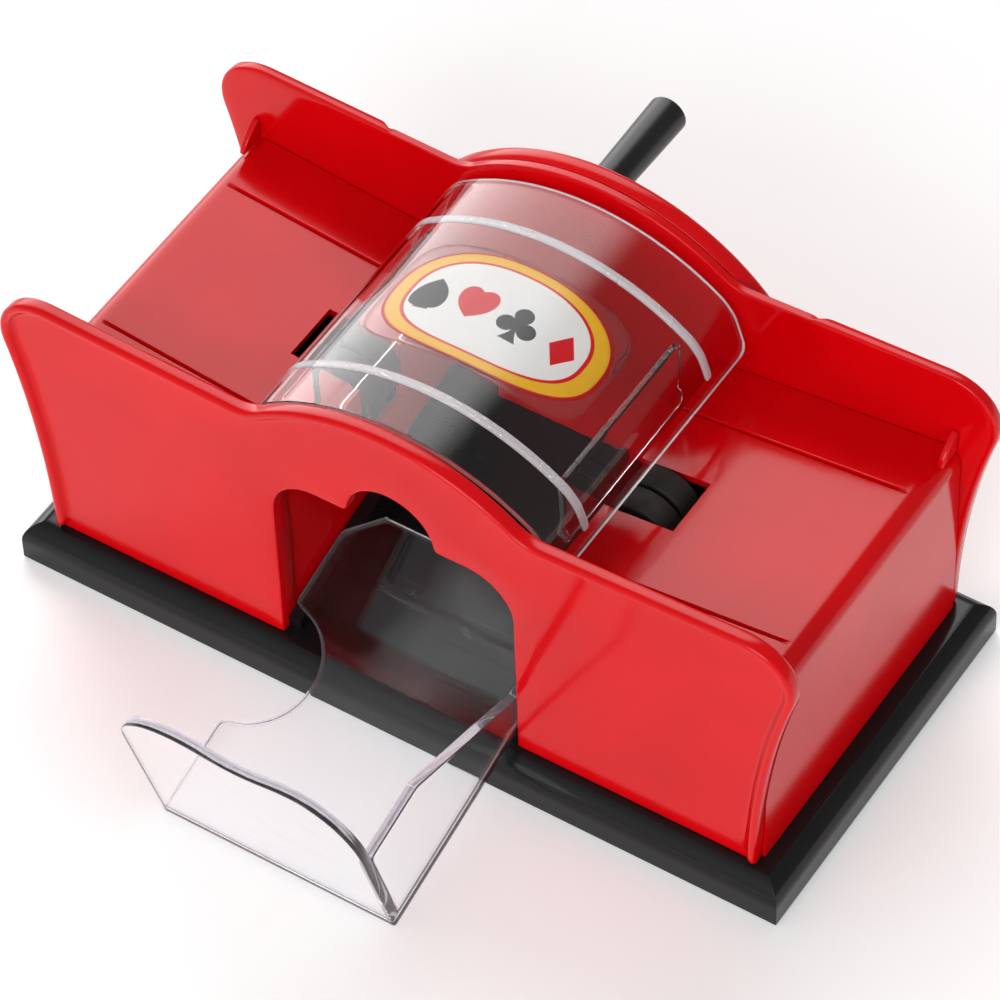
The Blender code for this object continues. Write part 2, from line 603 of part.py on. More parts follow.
def tray_rails():
    """The two sloped ledges in the bay that the receiving tray slides on."""
    rise = math.tan(SLED_TILT)
    ends = [(y, SLED_Z + (y - SLED_Y) * rise - GAP) for y in (LANE_HALF, -LANE_HALF)]
    outline = [(-LANE_HALF, WALL_FOOT), (LANE_HALF, WALL_FOOT)] + ends
    for side, start in (("left", -RAIL_OUT), ("right", RAIL_IN)):
        plate(side + "_tray_rail", "black_gloss", [outline], "YZ", start, RAIL_OUT - RAIL_IN)


def main():
    base()
    bottom_cover()
    front_wall()
    back_wall()
    for side, sign in (("left", -1), ("right", 1)):
        deck_side(side, sign)
    tray_rails()
    gear_train()
    bearings()
    gear_housing()
    crank()
    top_cover()
    receiving_tray()


if __name__ == "__main__":
    main()
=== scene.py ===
"""Looks of a hand-cranked card shuffler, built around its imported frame.

Each class below is one sub-assembly: it holds its sizes in millimetres, works its surfaces out as
numpy arrays, and dresses them. A surface is either a profile carried along a path or a grid of two
parameters. Arrays become metres where a mesh is made, and every piece stays at the origin with its
place in its mesh. +X runs along the base, the receiving tray comes out towards -Y, +Z is up.
"""

import json
import logging
import math
from dataclasses import dataclass, field
from enum import Enum
from typing import Callable, Optional, Sequence, Union

import bmesh
import bpy
import numpy as np
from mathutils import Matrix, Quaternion, Vector

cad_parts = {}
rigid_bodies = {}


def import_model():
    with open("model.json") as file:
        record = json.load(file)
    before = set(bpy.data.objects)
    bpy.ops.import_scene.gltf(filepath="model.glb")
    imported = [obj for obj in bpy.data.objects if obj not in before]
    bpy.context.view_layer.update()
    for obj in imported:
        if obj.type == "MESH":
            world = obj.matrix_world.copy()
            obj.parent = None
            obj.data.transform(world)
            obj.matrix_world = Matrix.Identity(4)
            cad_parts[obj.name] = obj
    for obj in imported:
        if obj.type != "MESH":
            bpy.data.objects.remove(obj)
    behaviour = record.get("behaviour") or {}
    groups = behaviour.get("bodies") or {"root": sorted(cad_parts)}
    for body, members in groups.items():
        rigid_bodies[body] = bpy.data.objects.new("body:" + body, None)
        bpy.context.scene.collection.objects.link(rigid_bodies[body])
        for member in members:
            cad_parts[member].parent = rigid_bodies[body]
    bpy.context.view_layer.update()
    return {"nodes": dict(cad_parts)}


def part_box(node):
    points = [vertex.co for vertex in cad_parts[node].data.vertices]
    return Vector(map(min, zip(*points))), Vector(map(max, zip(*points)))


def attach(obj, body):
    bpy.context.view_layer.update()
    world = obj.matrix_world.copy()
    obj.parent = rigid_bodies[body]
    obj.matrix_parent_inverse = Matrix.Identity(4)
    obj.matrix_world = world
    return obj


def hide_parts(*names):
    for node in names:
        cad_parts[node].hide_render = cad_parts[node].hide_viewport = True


for startup_object in list(bpy.data.objects):
    bpy.data.objects.remove(startup_object)
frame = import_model()

LOG = logging.getLogger("card_shuffler")
MM = 0.001
SAME_PLACE = 1e-7
LOOP_SLACK = 0.03
Array = np.ndarray
Point = tuple[float, float]
Colour = tuple[float, float, float]


class Side(Enum):
    """The two halves of the shuffler, with the sign of their X."""

    LEFT = -1
    RIGHT = 1

    @property
    def label(self) -> str:
        """The side's name as it stands in node names."""
        return self.name.lower()


class Body(Enum):
    """The moving bodies that pieces ride on."""

    FRAME = "frame"
    CRANK = "crank"
    KNOB = "knob"
    COVER = "cover"
    TRAY = "receiving_tray"
    LEFT_ROLLER = "left_roller"
    RIGHT_ROLLER = "right_roller"


# Paths: arrays of 2D points.


def arc(centre: Sequence[float], radius: float, start: float, end: float, count: int) -> Array:
    """Points on a circle: centre + radius * (cos, sin) of evenly spaced angles.

    Args:
        centre: The circle's middle.
        radius: Its radius.
        start: First angle in degrees.
        end: Last angle in degrees.
        count: Number of points, both ends included.

    Returns:
        The points, one a row.
    """
    angle = np.radians(np.linspace(start, end, count))
    return np.asarray(centre, float) + radius * np.stack([np.cos(angle), np.sin(angle)], 1)


def bezier(controls: Sequence[Sequence[float]], count: int) -> Array:
    """Points on a cubic curve: the Bernstein weights of t times the four control points.

    Args:
        controls: The start, its handle, the end's handle and the end.
        count: Number of points, both ends included.

    Returns:
        The points, one a row.
    """
    t = np.linspace(0.0, 1.0, count)[:, None]
    weights = ((1 - t) ** 3, 3 * t * (1 - t) ** 2, 3 * t**2 * (1 - t), t**3)
    return sum(weight * np.asarray(point, float) for weight, point in zip(weights, controls))


def join(*paths: Union[Array, Sequence[Sequence[float]]]) -> Array:
    """One path out of several, without points that repeat the one before them."""
    path = np.concatenate([np.atleast_2d(np.asarray(part, float)) for part in paths])
    apart = np.linalg.norm(np.diff(path, axis=0), axis=1) > 1e-6
    return path[np.concatenate([[True], apart])]


def mirrored(path: Array) -> Array:
    """The path's mirror image in X, walked the other way."""
    return path[::-1] * np.array([-1.0, 1.0])


def resample(path: Array, step: float) -> Array:
    """The open path at even distances of about one step, read off its running length."""
    length = np.concatenate([[0.0], np.cumsum(np.linalg.norm(np.diff(path, axis=0), axis=1))])
    places = np.linspace(0.0, length[-1], max(int(round(length[-1] / step)), 1) + 1)
    return np.stack([np.interp(places, length, path[:, k]) for k in range(2)], 1)


def relax(path: Array, passes: int) -> Array:
    """The open path with rounded corners: each pass moves a point halfway to its neighbours' mean."""
    for _ in range(passes):
        middle = (path[:-2] + path[2:]) / 2
        path = np.concatenate([path[:1], (path[1:-1] + middle) / 2, path[-1:]])
    return path


def left_normals(path: Array, closed: bool) -> Array:
    """Mitred normals to the left of travel: both sides' normals over 1 plus their dot product.

    Args:
        path: Points, one a row.
        closed: Whether the last point joins the first.

    Returns:
        One normal a point, as long as the mitre needs.
    """
    ahead = np.roll(path, -1, 0) - path
    if not closed:
        ahead[-1] = ahead[-2]
    ahead /= np.linalg.norm(ahead, axis=1, keepdims=True)
    side = np.stack([-ahead[:, 1], ahead[:, 0]], 1)
    before = np.roll(side, 1, 0)
    if not closed:
        before[0] = side[0]
    return (side + before) / np.maximum(1.0 + (side * before).sum(1, keepdims=True), 0.25)


def full_turn(count: int) -> Array:
    """Evenly spaced angles once round, in radians, without the last one that repeats the first."""
    return np.linspace(0.0, 2 * math.pi, count, endpoint=False)


# Meshes.


def quads(rows: int, columns: int, rows_closed: bool = False, columns_closed: bool = False) -> Array:
    """Faces of a grid of points stored row by row, with each closed direction wrapped round."""
    index = np.arange(rows * columns).reshape(rows, columns)
    if rows_closed:
        index = np.concatenate([index, index[:1]])
    if columns_closed:
        index = np.concatenate([index, index[:, :1]], 1)
    corners = (index[:-1, :-1], index[1:, :-1], index[1:, 1:], index[:-1, 1:])
    return np.stack([corner.ravel() for corner in corners], 1)


def make_object(
    name: str, points: Array, faces: Sequence, recalculate: bool = True
) -> bpy.types.Object:
    """A smooth-shaded mesh object at the origin.

    Args:
        name: The piece's name.
        points: Points in millimetres, one a row.
        faces: Lists of point numbers.
        recalculate: Whether to turn all faces outwards, which needs a closed surface.

    Returns:
        The object, linked to the scene.
    """
    corners = (np.asarray(points, float).reshape(-1, 3) * MM).tolist()
    mesh = bpy.data.meshes.new(name)
    mesh.from_pydata(corners, [], [list(map(int, face)) for face in faces])
    work = bmesh.new()
    work.from_mesh(mesh)
    bmesh.ops.remove_doubles(work, verts=work.verts, dist=SAME_PLACE)
    if recalculate:
        bmesh.ops.recalc_face_normals(work, faces=work.faces)
    work.to_mesh(mesh)
    work.free()
    mesh.shade_smooth()
    piece = bpy.data.objects.new(name, mesh)
    bpy.context.scene.collection.objects.link(piece)
    return piece


Place = Callable[[Array], Array]


def upright(points: Array) -> Array:
    """Plane coordinates (x, z, depth) as world (x, depth, z)."""
    return points[..., [0, 2, 1]]


def sideways(points: Array) -> Array:
    """Plane coordinates (y, z, depth) as world (depth, y, z)."""
    return points[..., [2, 0, 1]]


def level(points: Array) -> Array:
    """Plane coordinates (x, y, depth) as world coordinates."""
    return points


def inset_ring(outline: Array, distance: Array) -> Array:
    """The closed outline moved inwards, without the loops that tight corners would make.

    A moved point that comes nearer to the outline than its distance lies in such a loop; it's
    replaced by a point between the nearest good ones before and after it.

    Args:
        outline: Closed path, counter-clockwise.
        distance: How far each point moves.

    Returns:
        The moved path, with as many points.
    """
    moved = outline + distance[:, None] * left_normals(outline, True)
    gap = np.linalg.norm(moved[:, None] - outline[None], axis=2).min(1)
    good = gap > np.abs(distance) - LOOP_SLACK
    index = np.arange(len(outline))
    columns = [
        np.interp(index, index[good], moved[good, k], period=len(index)) for k in range(2)
    ]
    return np.stack(columns, 1)


def banded_plate(
    name: str, outline: Array, band: Array, place: Place, edge_slot: bool = False, mitred: bool = False
) -> bpy.types.Object:
    """A moulded plate: its edge profile carried round its outline, with both flat sides filled.

    A point is outline + inset * inward normal, at the band's depth. The first and the last point of
    the band lie on the two flat sides, a little in from the rounding, so that the sides shade flat.

    Args:
        name: The piece's name.
        outline: Closed path, counter-clockwise.
        band: (inset, depth) from one flat side to the other, for all points or one set a point.
        place: Turns plane coordinates into world ones.
        edge_slot: Whether the edge faces take the second material slot.
        mitred: Whether corners keep their mitre, however far in they're moved.

    Returns:
        The piece.
    """
    count = len(outline)
    band = np.broadcast_to(band, (count, *band.shape[-2:]))
    if mitred:
        flat = outline[:, None] + band[..., :1] * left_normals(outline, True)[:, None]
    else:
        flat = np.stack([inset_ring(outline, band[:, k, 0]) for k in range(band.shape[1])], 1)
    points = place(np.concatenate([flat, band[..., 1:]], 2))
    steps = band.shape[1]
    faces = quads(count, steps, rows_closed=True).tolist()
    rings = np.arange(count * steps).reshape(count, steps)
    faces += [rings[::-1, 0].tolist(), rings[:, -1].tolist()]
    piece = make_object(name, points, faces)
    if edge_slot:
        sizes = np.array([len(polygon.vertices) for polygon in piece.data.polygons])
        piece.data.polygons.foreach_set("material_index", (sizes == 4).astype(np.int32))
    return piece


def rounded_band(
    start: float, end: float, radius: float, support: float = 1.5, steps: int = 4
) -> Array:
    """The edge profile of a plain plate: quarter circles of one radius at both arrises."""
    low = arc((radius, start + radius), radius, 270.0, 180.0, steps)
    high = arc((radius, end - radius), radius, 180.0, 90.0, steps)
    return join([(radius + support, start)], low, high, [(radius + support, end)])


def turned(
    name: str, profile: Array, axis: Sequence[float], segments: int = 64, ring: bool = False
) -> bpy.types.Object:
    """A turned piece: (radius * cos, y, radius * sin) over the turn, about an axis along Y.

    Args:
        name: The piece's name.
        profile: (radius, y) points; open ones start and end on the axis.
        axis: The axis's x and z.
        segments: Steps round the turn.
        ring: Whether the profile closes on itself.

    Returns:
        The piece.
    """
    turn = full_turn(segments)[:, None]
    radius, along = profile[None, :, 0], profile[None, :, 1]
    points = np.stack(
        [axis[0] + radius * np.cos(turn), along + 0 * turn, axis[1] + radius * np.sin(turn)], 2
    )
    faces = quads(segments, len(profile), rows_closed=True, columns_closed=ring)
    return make_object(name, points, faces)


def soften(piece: bpy.types.Object, width: float, angle: float = 40.0, steps: int = 3) -> None:
    """Rounds the piece's sharp edges and keeps its flat faces flat."""
    bevel = piece.modifiers.new("edges", "BEVEL")
    bevel.width = width * MM
    bevel.segments = steps
    bevel.limit_method = "ANGLE"
    bevel.angle_limit = math.radians(angle)
    weigh(piece)


def thicken(piece: bpy.types.Object, thickness: float, rim_slot: int = 0) -> None:
    """Gives an open surface a wall on its inner side, with its own material slot for the cut edge."""
    wall = piece.modifiers.new("wall", "SOLIDIFY")
    wall.thickness = thickness * MM
    wall.offset = -1.0
    wall.material_offset_rim = rim_slot


def weigh(piece: bpy.types.Object) -> None:
    """Lets the large faces set the shading at shared corners."""
    normals = piece.modifiers.new("shading", "WEIGHTED_NORMAL")
    normals.keep_sharp = True


# Shader maths.


class Value:
    """A node's output that takes part in Python arithmetic, one Math node an operation."""

    def __init__(self, graph: "Graph", socket: bpy.types.NodeSocket) -> None:
        """Keeps the socket and the graph that new nodes go into."""
        self.graph = graph
        self.socket = socket

    def math(self, operation: str, *others: Union["Value", float], swap: bool = False) -> "Value":
        """One Math node on this value and the others."""
        terms = [self, *others]
        if swap:
            terms.reverse()
        return self.graph.node("ShaderNodeMath", {"operation": operation}, dict(enumerate(terms)))

    def __add__(self, other: Union["Value", float]) -> "Value":
        """self + other."""
        return self.math("ADD", other)

    __radd__ = __add__

    def __sub__(self, other: Union["Value", float]) -> "Value":
        """self - other."""
        return self.math("SUBTRACT", other)

    def __rsub__(self, other: float) -> "Value":
        """other - self."""
        return self.math("SUBTRACT", other, swap=True)

    def __mul__(self, other: Union["Value", float]) -> "Value":
        """self * other."""
        return self.math("MULTIPLY", other)

    __rmul__ = __mul__

    def __pow__(self, other: float) -> "Value":
        """self ** other, for values that aren't negative."""
        return self.math("POWER", other)

    def __lt__(self, other: Union["Value", float]) -> "Value":
        """1 where self is under other, else 0."""
        return self.math("LESS_THAN", other)

    def __gt__(self, other: Union["Value", float]) -> "Value":
        """1 where self is over other, else 0."""
        return self.math("GREATER_THAN", other)

    def __abs__(self) -> "Value":
        """The size without the sign."""
        return self.math("ABSOLUTE")

    def largest(self, other: Union["Value", float]) -> "Value":
        """The larger of the two, which is the union of two masks."""
        return self.math("MAXIMUM", other)

    def smooth(self, low: float, high: float) -> "Value":
        """0 under low, 1 over high, and a smooth step between."""
        inputs = {0: self, 1: low, 2: high, 3: 0.0, 4: 1.0}
        return self.graph.node("ShaderNodeMapRange", {"interpolation_type": "SMOOTHSTEP"}, inputs)


class Graph:
    """A node tree that nodes are added to by expressions."""

    def __init__(self, tree: bpy.types.NodeTree) -> None:
        """Keeps the tree."""
        self.tree = tree

    def node(
        self,
        kind: str,
        settings: Optional[dict] = None,
        inputs: Optional[dict] = None,
        output: Union[int, str] = 0,
    ) -> Value:
        """Adds any node.

        Args:
            kind: Its type.
            settings: Properties set first, such as a Math node's operation.
            inputs: Values or links of its sockets, by name or number.
            output: Which output to return.

        Returns:
            The output as a Value.
        """
        made = self.tree.nodes.new(kind)
        for key, value in (settings or {}).items():
            setattr(made, key, value)
        for key, value in (inputs or {}).items():
            if isinstance(value, Value):
                self.tree.links.new(value.socket, made.inputs[key])
            else:
                made.inputs[key].default_value = value
        return Value(self, made.outputs[output])


class Recipe(Graph):
    """A node material under construction, around one Principled shader."""

    def __init__(self, name: str) -> None:
        """Starts an empty material."""
        self.material = bpy.data.materials.new(name)
        self.material.use_nodes = True
        super().__init__(self.material.node_tree)
        self.tree.nodes.clear()
        self.output = self.tree.nodes.new("ShaderNodeOutputMaterial")
        self.shader = self.tree.nodes.new("ShaderNodeBsdfPrincipled")
        self.tree.links.new(self.shader.outputs[0], self.output.inputs["Surface"])
        self.position = self.node("ShaderNodeTexCoord", output="Object")

    def axes(self) -> tuple[Value, Value, Value]:
        """The point's x, y and z in metres."""
        split = self.node("ShaderNodeSeparateXYZ", inputs={0: self.position})
        outputs = split.socket.node.outputs
        return tuple(Value(self, outputs[k]) for k in range(3))

    def stretched(self, scale: Sequence[float], turn: Sequence[float] = (0.0, 0.0, 0.0)) -> Value:
        """The position, turned and stretched for a pattern with a direction."""
        inputs = {"Vector": self.position, "Rotation": turn, "Scale": scale}
        return self.node("ShaderNodeMapping", inputs=inputs)

    def noise(
        self, scale: float, detail: float = 3.0, at: Optional[Value] = None, rough: float = 0.5
    ) -> Value:
        """Noise from 0 to 1 with about that many waves a metre."""
        place = at or self.position
        inputs = {"Vector": place, "Scale": scale, "Detail": detail, "Roughness": rough}
        return self.node("ShaderNodeTexNoise", inputs=inputs)

    def specks(self, scale: float, size: float) -> Value:
        """1 in small round dots scattered over the surface, else 0."""
        cells = self.node("ShaderNodeTexVoronoi", inputs={"Vector": self.position, "Scale": scale})
        return 1.0 - cells.smooth(size * 0.6, size)

    def scratches(self, length: float, across: float, turn: Sequence[float]) -> Value:
        """1 along thin straight scratches that run one way, else 0."""
        lines = self.noise(1.0, 2.0, self.stretched((length, across, across), turn))
        return lines.smooth(0.66, 0.70)

    def mix(
        self,
        factor: Union[Value, float],
        first: Union[Value, Colour],
        second: Union[Value, Colour],
    ) -> Value:
        """A colour between two others, through the Mix node's colour sockets."""

        def filled(colour: Union[Value, Colour]) -> Union[Value, tuple]:
            """The colour with an alpha where it's plain numbers."""
            return colour if isinstance(colour, Value) else (*colour, 1.0)

        inputs = {"Factor": factor, 6: filled(first), 7: filled(second)}
        return self.node("ShaderNodeMix", {"data_type": "RGBA"}, inputs, output=2)

    def bump(self, height: Value, distance: float) -> None:
        """Lets the height, times a distance in metres, tilt the normal."""
        inputs = {"Height": height, "Distance": distance, "Strength": 1.0}
        normal = self.node("ShaderNodeBump", inputs=inputs)
        self.tree.links.new(normal.socket, self.shader.inputs["Normal"])

    def set(self, **values: Union[Value, float, Colour]) -> None:
        """Sets or links the shader's inputs; an underscore in a name stands for a space."""
        for key, value in values.items():
            socket = self.shader.inputs[key.replace("_", " ")]
            if isinstance(value, Value):
                self.tree.links.new(value.socket, socket)
            elif isinstance(value, tuple) and socket.type == "RGBA":
                socket.default_value = (*value, 1.0)
            else:
                socket.default_value = value

    def let_light_through(self, tint: Colour) -> None:
        """Shadow rays pass this clear plastic, tinted a little, in place of stopping at it."""
        clear = self.node("ShaderNodeBsdfTransparent", inputs={"Color": (*tint, 1.0)})
        shadow = self.node("ShaderNodeLightPath", output="Is Shadow Ray")
        both = self.node("ShaderNodeMixShader", inputs={0: shadow, 2: clear})
        self.tree.links.new(self.shader.outputs[0], both.socket.node.inputs[1])
        self.tree.links.new(both.socket, self.output.inputs["Surface"])


# Finishes.


@dataclass(frozen=True)
class Moulded:
    """Injection-moulded plastic: flow marks, a fine peel, hair scratches and dust."""

    name: str
    colour: Colour
    deep: Colour
    roughness: float = 0.16
    gloss: float = 0.35
    peel: float = 0.00001
    wear: float = 0.12
    dust: float = 0.0

    def material(self) -> bpy.types.Material:
        """Colour drifts with slow noise; scratches and peel work on roughness and bump."""
        recipe = Recipe(self.name)
        flow = recipe.noise(28.0, 2.0).smooth(0.35, 0.65)
        cloud = recipe.noise(160.0, 4.0)
        hairs = recipe.scratches(14.0, 2600.0, (0.0, 0.0, 0.5)).largest(
            recipe.scratches(22.0, 3100.0, (0.3, 0.0, -0.9))
        )
        worn = hairs * recipe.noise(45.0, 2.0).smooth(0.48, 0.62)
        colour = recipe.mix(flow, self.deep, self.colour)
        if self.dust:
            grains = recipe.specks(420.0, 0.045) * recipe.noise(30.0, 2.0).smooth(0.45, 0.6)
            grey = tuple(0.5 * part + 0.12 for part in self.colour)
            colour = recipe.mix(grains * self.dust, colour, grey)
        recipe.set(
            Base_Color=colour,
            Roughness=cloud * 0.05 + (self.roughness - 0.025) + worn * self.wear,
            Specular_IOR_Level=self.gloss,
        )
        recipe.bump(recipe.noise(1500.0, 2.0) * 0.6 + cloud * 1.6 - worn * 0.4, self.peel)
        return recipe.material


@dataclass(frozen=True)
class Rubber:
    """Ground rubber: matte, with a fine grain and pale rubbed patches."""

    name: str
    colour: Colour
    roughness: float = 0.62

    def material(self) -> bpy.types.Material:
        """Grain drives the bump, and rubbed patches lighten and polish the surface."""
        recipe = Recipe(self.name)
        grain = recipe.noise(2600.0, 5.0, rough=0.7)
        rubbed = recipe.noise(120.0, 3.0).smooth(0.5, 0.75)
        pale = tuple(part * 2.2 + 0.01 for part in self.colour)
        recipe.set(
            Base_Color=recipe.mix(rubbed * 0.6, self.colour, pale),
            Roughness=self.roughness - rubbed * 0.15 + grain * 0.08,
            Specular_IOR_Level=0.4,
        )
        recipe.bump(grain, 0.00006)
        return recipe.material


@dataclass(frozen=True)
class TurnedSteel:
    """Steel bar or screw stock with fine turning marks round the Y axis."""

    name: str
    colour: Colour = (0.56, 0.56, 0.57)
    roughness: float = 0.26

    def material(self) -> bpy.types.Material:
        """Noise stretched so that it changes along Y only gives the turning marks."""
        recipe = Recipe(self.name)
        rings = recipe.noise(1.0, 3.0, recipe.stretched((60.0, 5200.0, 60.0)))
        dull = recipe.noise(240.0, 3.0)
        dark = tuple(part * 0.72 for part in self.colour)
        recipe.set(
            Base_Color=recipe.mix(dull.smooth(0.4, 0.7), self.colour, dark),
            Metallic=1.0,
            Roughness=rings * 0.14 + self.roughness - 0.07 + dull * 0.06,
        )
        recipe.bump(rings, 0.00001)
        return recipe.material


@dataclass(frozen=True)
class Clear:
    """Clear plastic with hair scratches and dust, which lets light through to what it covers."""

    name: str
    tint: Colour = (0.985, 0.985, 0.99)
    frost: float = 0.0
    shade: Colour = (0.93, 0.93, 0.94)
    bend: float = 1.47
    scuffs: float = 0.12
    grain: float = 0.000012

    def material(self) -> bpy.types.Material:
        """A transmitting shader whose roughness rises in scratches and, with frost, everywhere."""
        recipe = Recipe(self.name)
        hairs = recipe.scratches(9.0, 2300.0, (0.0, 0.0, 0.9)).largest(
            recipe.scratches(12.0, 2700.0, (0.0, 0.2, -0.4))
        )
        worn = hairs * recipe.noise(38.0, 2.0).smooth(0.45, 0.6)
        grains = recipe.specks(260.0, 0.04) * recipe.noise(50.0, 2.0).smooth(0.5, 0.62)
        haze = recipe.noise(70.0, 3.0)
        marks = worn.largest(grains)
        pale = tuple(part * 0.9 for part in self.tint)
        recipe.set(
            Base_Color=recipe.mix(marks * 0.5, self.tint, pale),
            Roughness=haze * (0.02 + 0.12 * self.frost) + self.frost * 0.3 + marks * self.scuffs,
            IOR=self.bend,
            Transmission_Weight=1.0 - 0.6 * self.frost,
        )
        waves = haze * 2.0 + recipe.noise(420.0, 2.0) * 0.3
        recipe.bump(waves, self.grain * (1.0 + 6.0 * self.frost))
        recipe.let_light_through(self.shade)
        return recipe.material


@dataclass(frozen=True)
class SuitPrint:
    """The decal's print on white: a gold border, a red line and the four card suits in a row."""

    name: str
    half: tuple[float, float]
    radius: float
    shift: float
    power: float
    edges: tuple[float, float, float] = (0.8, 0.835, 0.975)
    white: Colour = (0.86, 0.86, 0.84)
    aged: Colour = (0.7, 0.7, 0.7)
    gold: Colour = (0.86, 0.48, 0.02)
    red: Colour = (0.66, 0.006, 0.012)
    black: Colour = (0.012, 0.012, 0.016)
    pip: float = 4.6
    spacing: float = 12.2

    @staticmethod
    def heart(u: Value, v: Value) -> Value:
        """1 where (u^2 + v^2 - 1)^3 - u^2 v^3 is negative: the algebraic heart."""
        body = u * u + v * v - 1.0
        return body * body * body - u * u * v * v * v < 0.0

    @staticmethod
    def disc(u: Value, v: Value, radius: float) -> Value:
        """1 inside a circle."""
        return u * u + v * v < radius * radius

    @staticmethod
    def stem(u: Value, v: Value) -> Value:
        """1 in a foot that widens downwards: |u| under 0.1 plus a share of the depth squared."""
        depth = -0.1 - v
        inside = abs(u) < depth * depth * 0.32 + 0.09
        return inside * (v > -1.25) * (v < 0.0)

    def suits(self, u: Value, v: Value) -> tuple[Value, Value]:
        """Masks of the red and of the black pips.

        Args:
            u: Millimetres along the arch from the print's middle.
            v: Millimetres across it.

        Returns:
            The two masks.
        """

        def local(step: float) -> tuple[Value, Value]:
            """The point as seen from one pip's middle, in pip sizes."""
            return (u - step * self.spacing) * (1.0 / self.pip), v * (1.0 / self.pip)

        u0, v0 = local(-1.5)
        spade = self.heart(u0 * 1.05, 0.12 - v0).largest(self.stem(u0, v0))
        u1, v1 = local(-0.5)
        heart = self.heart(u1 * 1.02, v1 * 1.02 + 0.02)
        u2, v2 = local(0.5)
        club = self.disc(u2, v2 - 0.62, 0.52).largest(self.stem(u2, v2))
        for side in (-0.6, 0.6):
            club = club.largest(self.disc(u2 - side, v2 + 0.22, 0.52))
        club = club.largest(self.disc(u2, v2 - 0.05, 0.3))
        u3, v3 = local(1.5)
        diamond = abs(u3) * 1.28 + abs(v3) * 0.88 < 1.0
        return heart.largest(diamond), spade.largest(club)

    def material(self) -> bpy.types.Material:
        """Colours picked by masks in the arch's own coordinates: arc length along it, y across it."""
        recipe = Recipe(self.name)
        x, y, _ = recipe.axes()
        u = (x * (1.0 / (self.radius * MM))).math("ARCSINE") * self.radius
        v = y * (1.0 / MM) - self.shift
        across, up = u * (1.0 / self.half[0]), v * (1.0 / self.half[1])
        rim = (abs(across) ** self.power + abs(up) ** self.power) ** (1.0 / self.power)
        red, black = self.suits(u, v)
        ink = recipe.noise(900.0, 3.0)
        colour = recipe.mix(ink * 0.12, self.white, self.aged)
        for edge, border in zip(self.edges, (self.red, self.gold, self.red)):
            colour = recipe.mix(rim > edge, colour, border)
        colour = recipe.mix(red, colour, self.red)
        colour = recipe.mix(black, colour, self.black)
        recipe.set(Base_Color=colour, Roughness=ink * 0.12 + 0.16, Specular_IOR_Level=0.2)
        recipe.bump(ink + recipe.noise(130.0, 2.0) * 2.0, 0.000012)
        return recipe.material


@dataclass(frozen=True)
class PaleFloor:
    """A plain pale studio floor."""

    name: str = "pale_floor"
    colour: Colour = (0.88, 0.88, 0.88)
    lift: float = 0.22

    def material(self) -> bpy.types.Material:
        """Nearly white, with a drift too weak to see as a pattern."""
        recipe = Recipe(self.name)
        off = tuple(part * 0.995 for part in self.colour)
        recipe.set(
            Base_Color=recipe.mix(recipe.noise(6.0, 2.0), self.colour, off),
            Roughness=0.9,
            Specular_IOR_Level=0.05,
            Emission_Color=(1.0, 1.0, 1.0),
            Emission_Strength=self.lift,
        )
        return recipe.material


@dataclass
class Finishes:
    """Every material of the object, each made once."""

    red: bpy.types.Material = field(init=False)
    black: bpy.types.Material = field(init=False)
    underside: bpy.types.Material = field(init=False)
    satin: bpy.types.Material = field(init=False)
    tyre: bpy.types.Material = field(init=False)
    pad: bpy.types.Material = field(init=False)
    steel: bpy.types.Material = field(init=False)
    nylon: bpy.types.Material = field(init=False)
    hood: bpy.types.Material = field(init=False)
    hood_edge: bpy.types.Material = field(init=False)
    frosted: bpy.types.Material = field(init=False)
    sheet: bpy.types.Material = field(init=False)
    sheet_edge: bpy.types.Material = field(init=False)
    film: bpy.types.Material = field(init=False)

    def __post_init__(self) -> None:
        """Builds the materials from their recipes."""
        self.red = Moulded(
            "red_moulding", (0.68, 0.0003, 0.003), (0.62, 0.0002, 0.0025), roughness=0.12, gloss=0.25
        ).material()
        self.black = Moulded(
            "black_moulding",
            (0.008, 0.008, 0.0085),
            (0.006, 0.006, 0.0065),
            roughness=0.18,
            gloss=0.27,
            wear=0.2,
            dust=0.4,
        ).material()
        self.underside = Moulded(
            "black_texture", (0.02, 0.02, 0.021), (0.016, 0.016, 0.017), roughness=0.5, peel=0.00004
        ).material()
        self.satin = Moulded(
            "black_satin",
            (0.012, 0.012, 0.013),
            (0.009, 0.009, 0.01),
            roughness=0.3,
            gloss=0.4,
            wear=0.2,
            dust=0.3,
        ).material()
        self.tyre = Rubber("roller_rubber", (0.014, 0.014, 0.014), roughness=0.5).material()
        self.pad = Rubber("pad_rubber", (0.03, 0.03, 0.03), roughness=0.75).material()
        self.steel = TurnedSteel("turned_steel").material()
        self.nylon = Moulded(
            "natural_nylon", (0.78, 0.77, 0.72), (0.74, 0.73, 0.67), roughness=0.36, gloss=0.4
        ).material()
        # Painted shade: the hood passes only about a third of the light on shadow rays, far less than
        # clear plastic would, so the inside under it lies darker.
        self.hood = Clear("clear_hood", shade=(0.36, 0.36, 0.37), bend=1.33).material()
        self.hood_edge = Clear(
            "hood_edge", (0.98, 0.98, 0.99), frost=0.9, shade=(0.9, 0.9, 0.92)
        ).material()
        self.frosted = Clear(
            "frosted_rib", (0.97, 0.97, 0.985), frost=0.7, shade=(0.85, 0.85, 0.87)
        ).material()
        self.sheet = Clear("clear_sheet", (0.99, 0.99, 0.995)).material()
        self.sheet_edge = Clear(
            "sheet_edge", (0.88, 0.86, 0.91), frost=0.05, shade=(0.85, 0.83, 0.88)
        ).material()
        self.film = Clear(
            "decal_film", (0.995, 0.995, 0.995), frost=0.02, shade=(0.97, 0.97, 0.97), bend=1.06
        ).material()


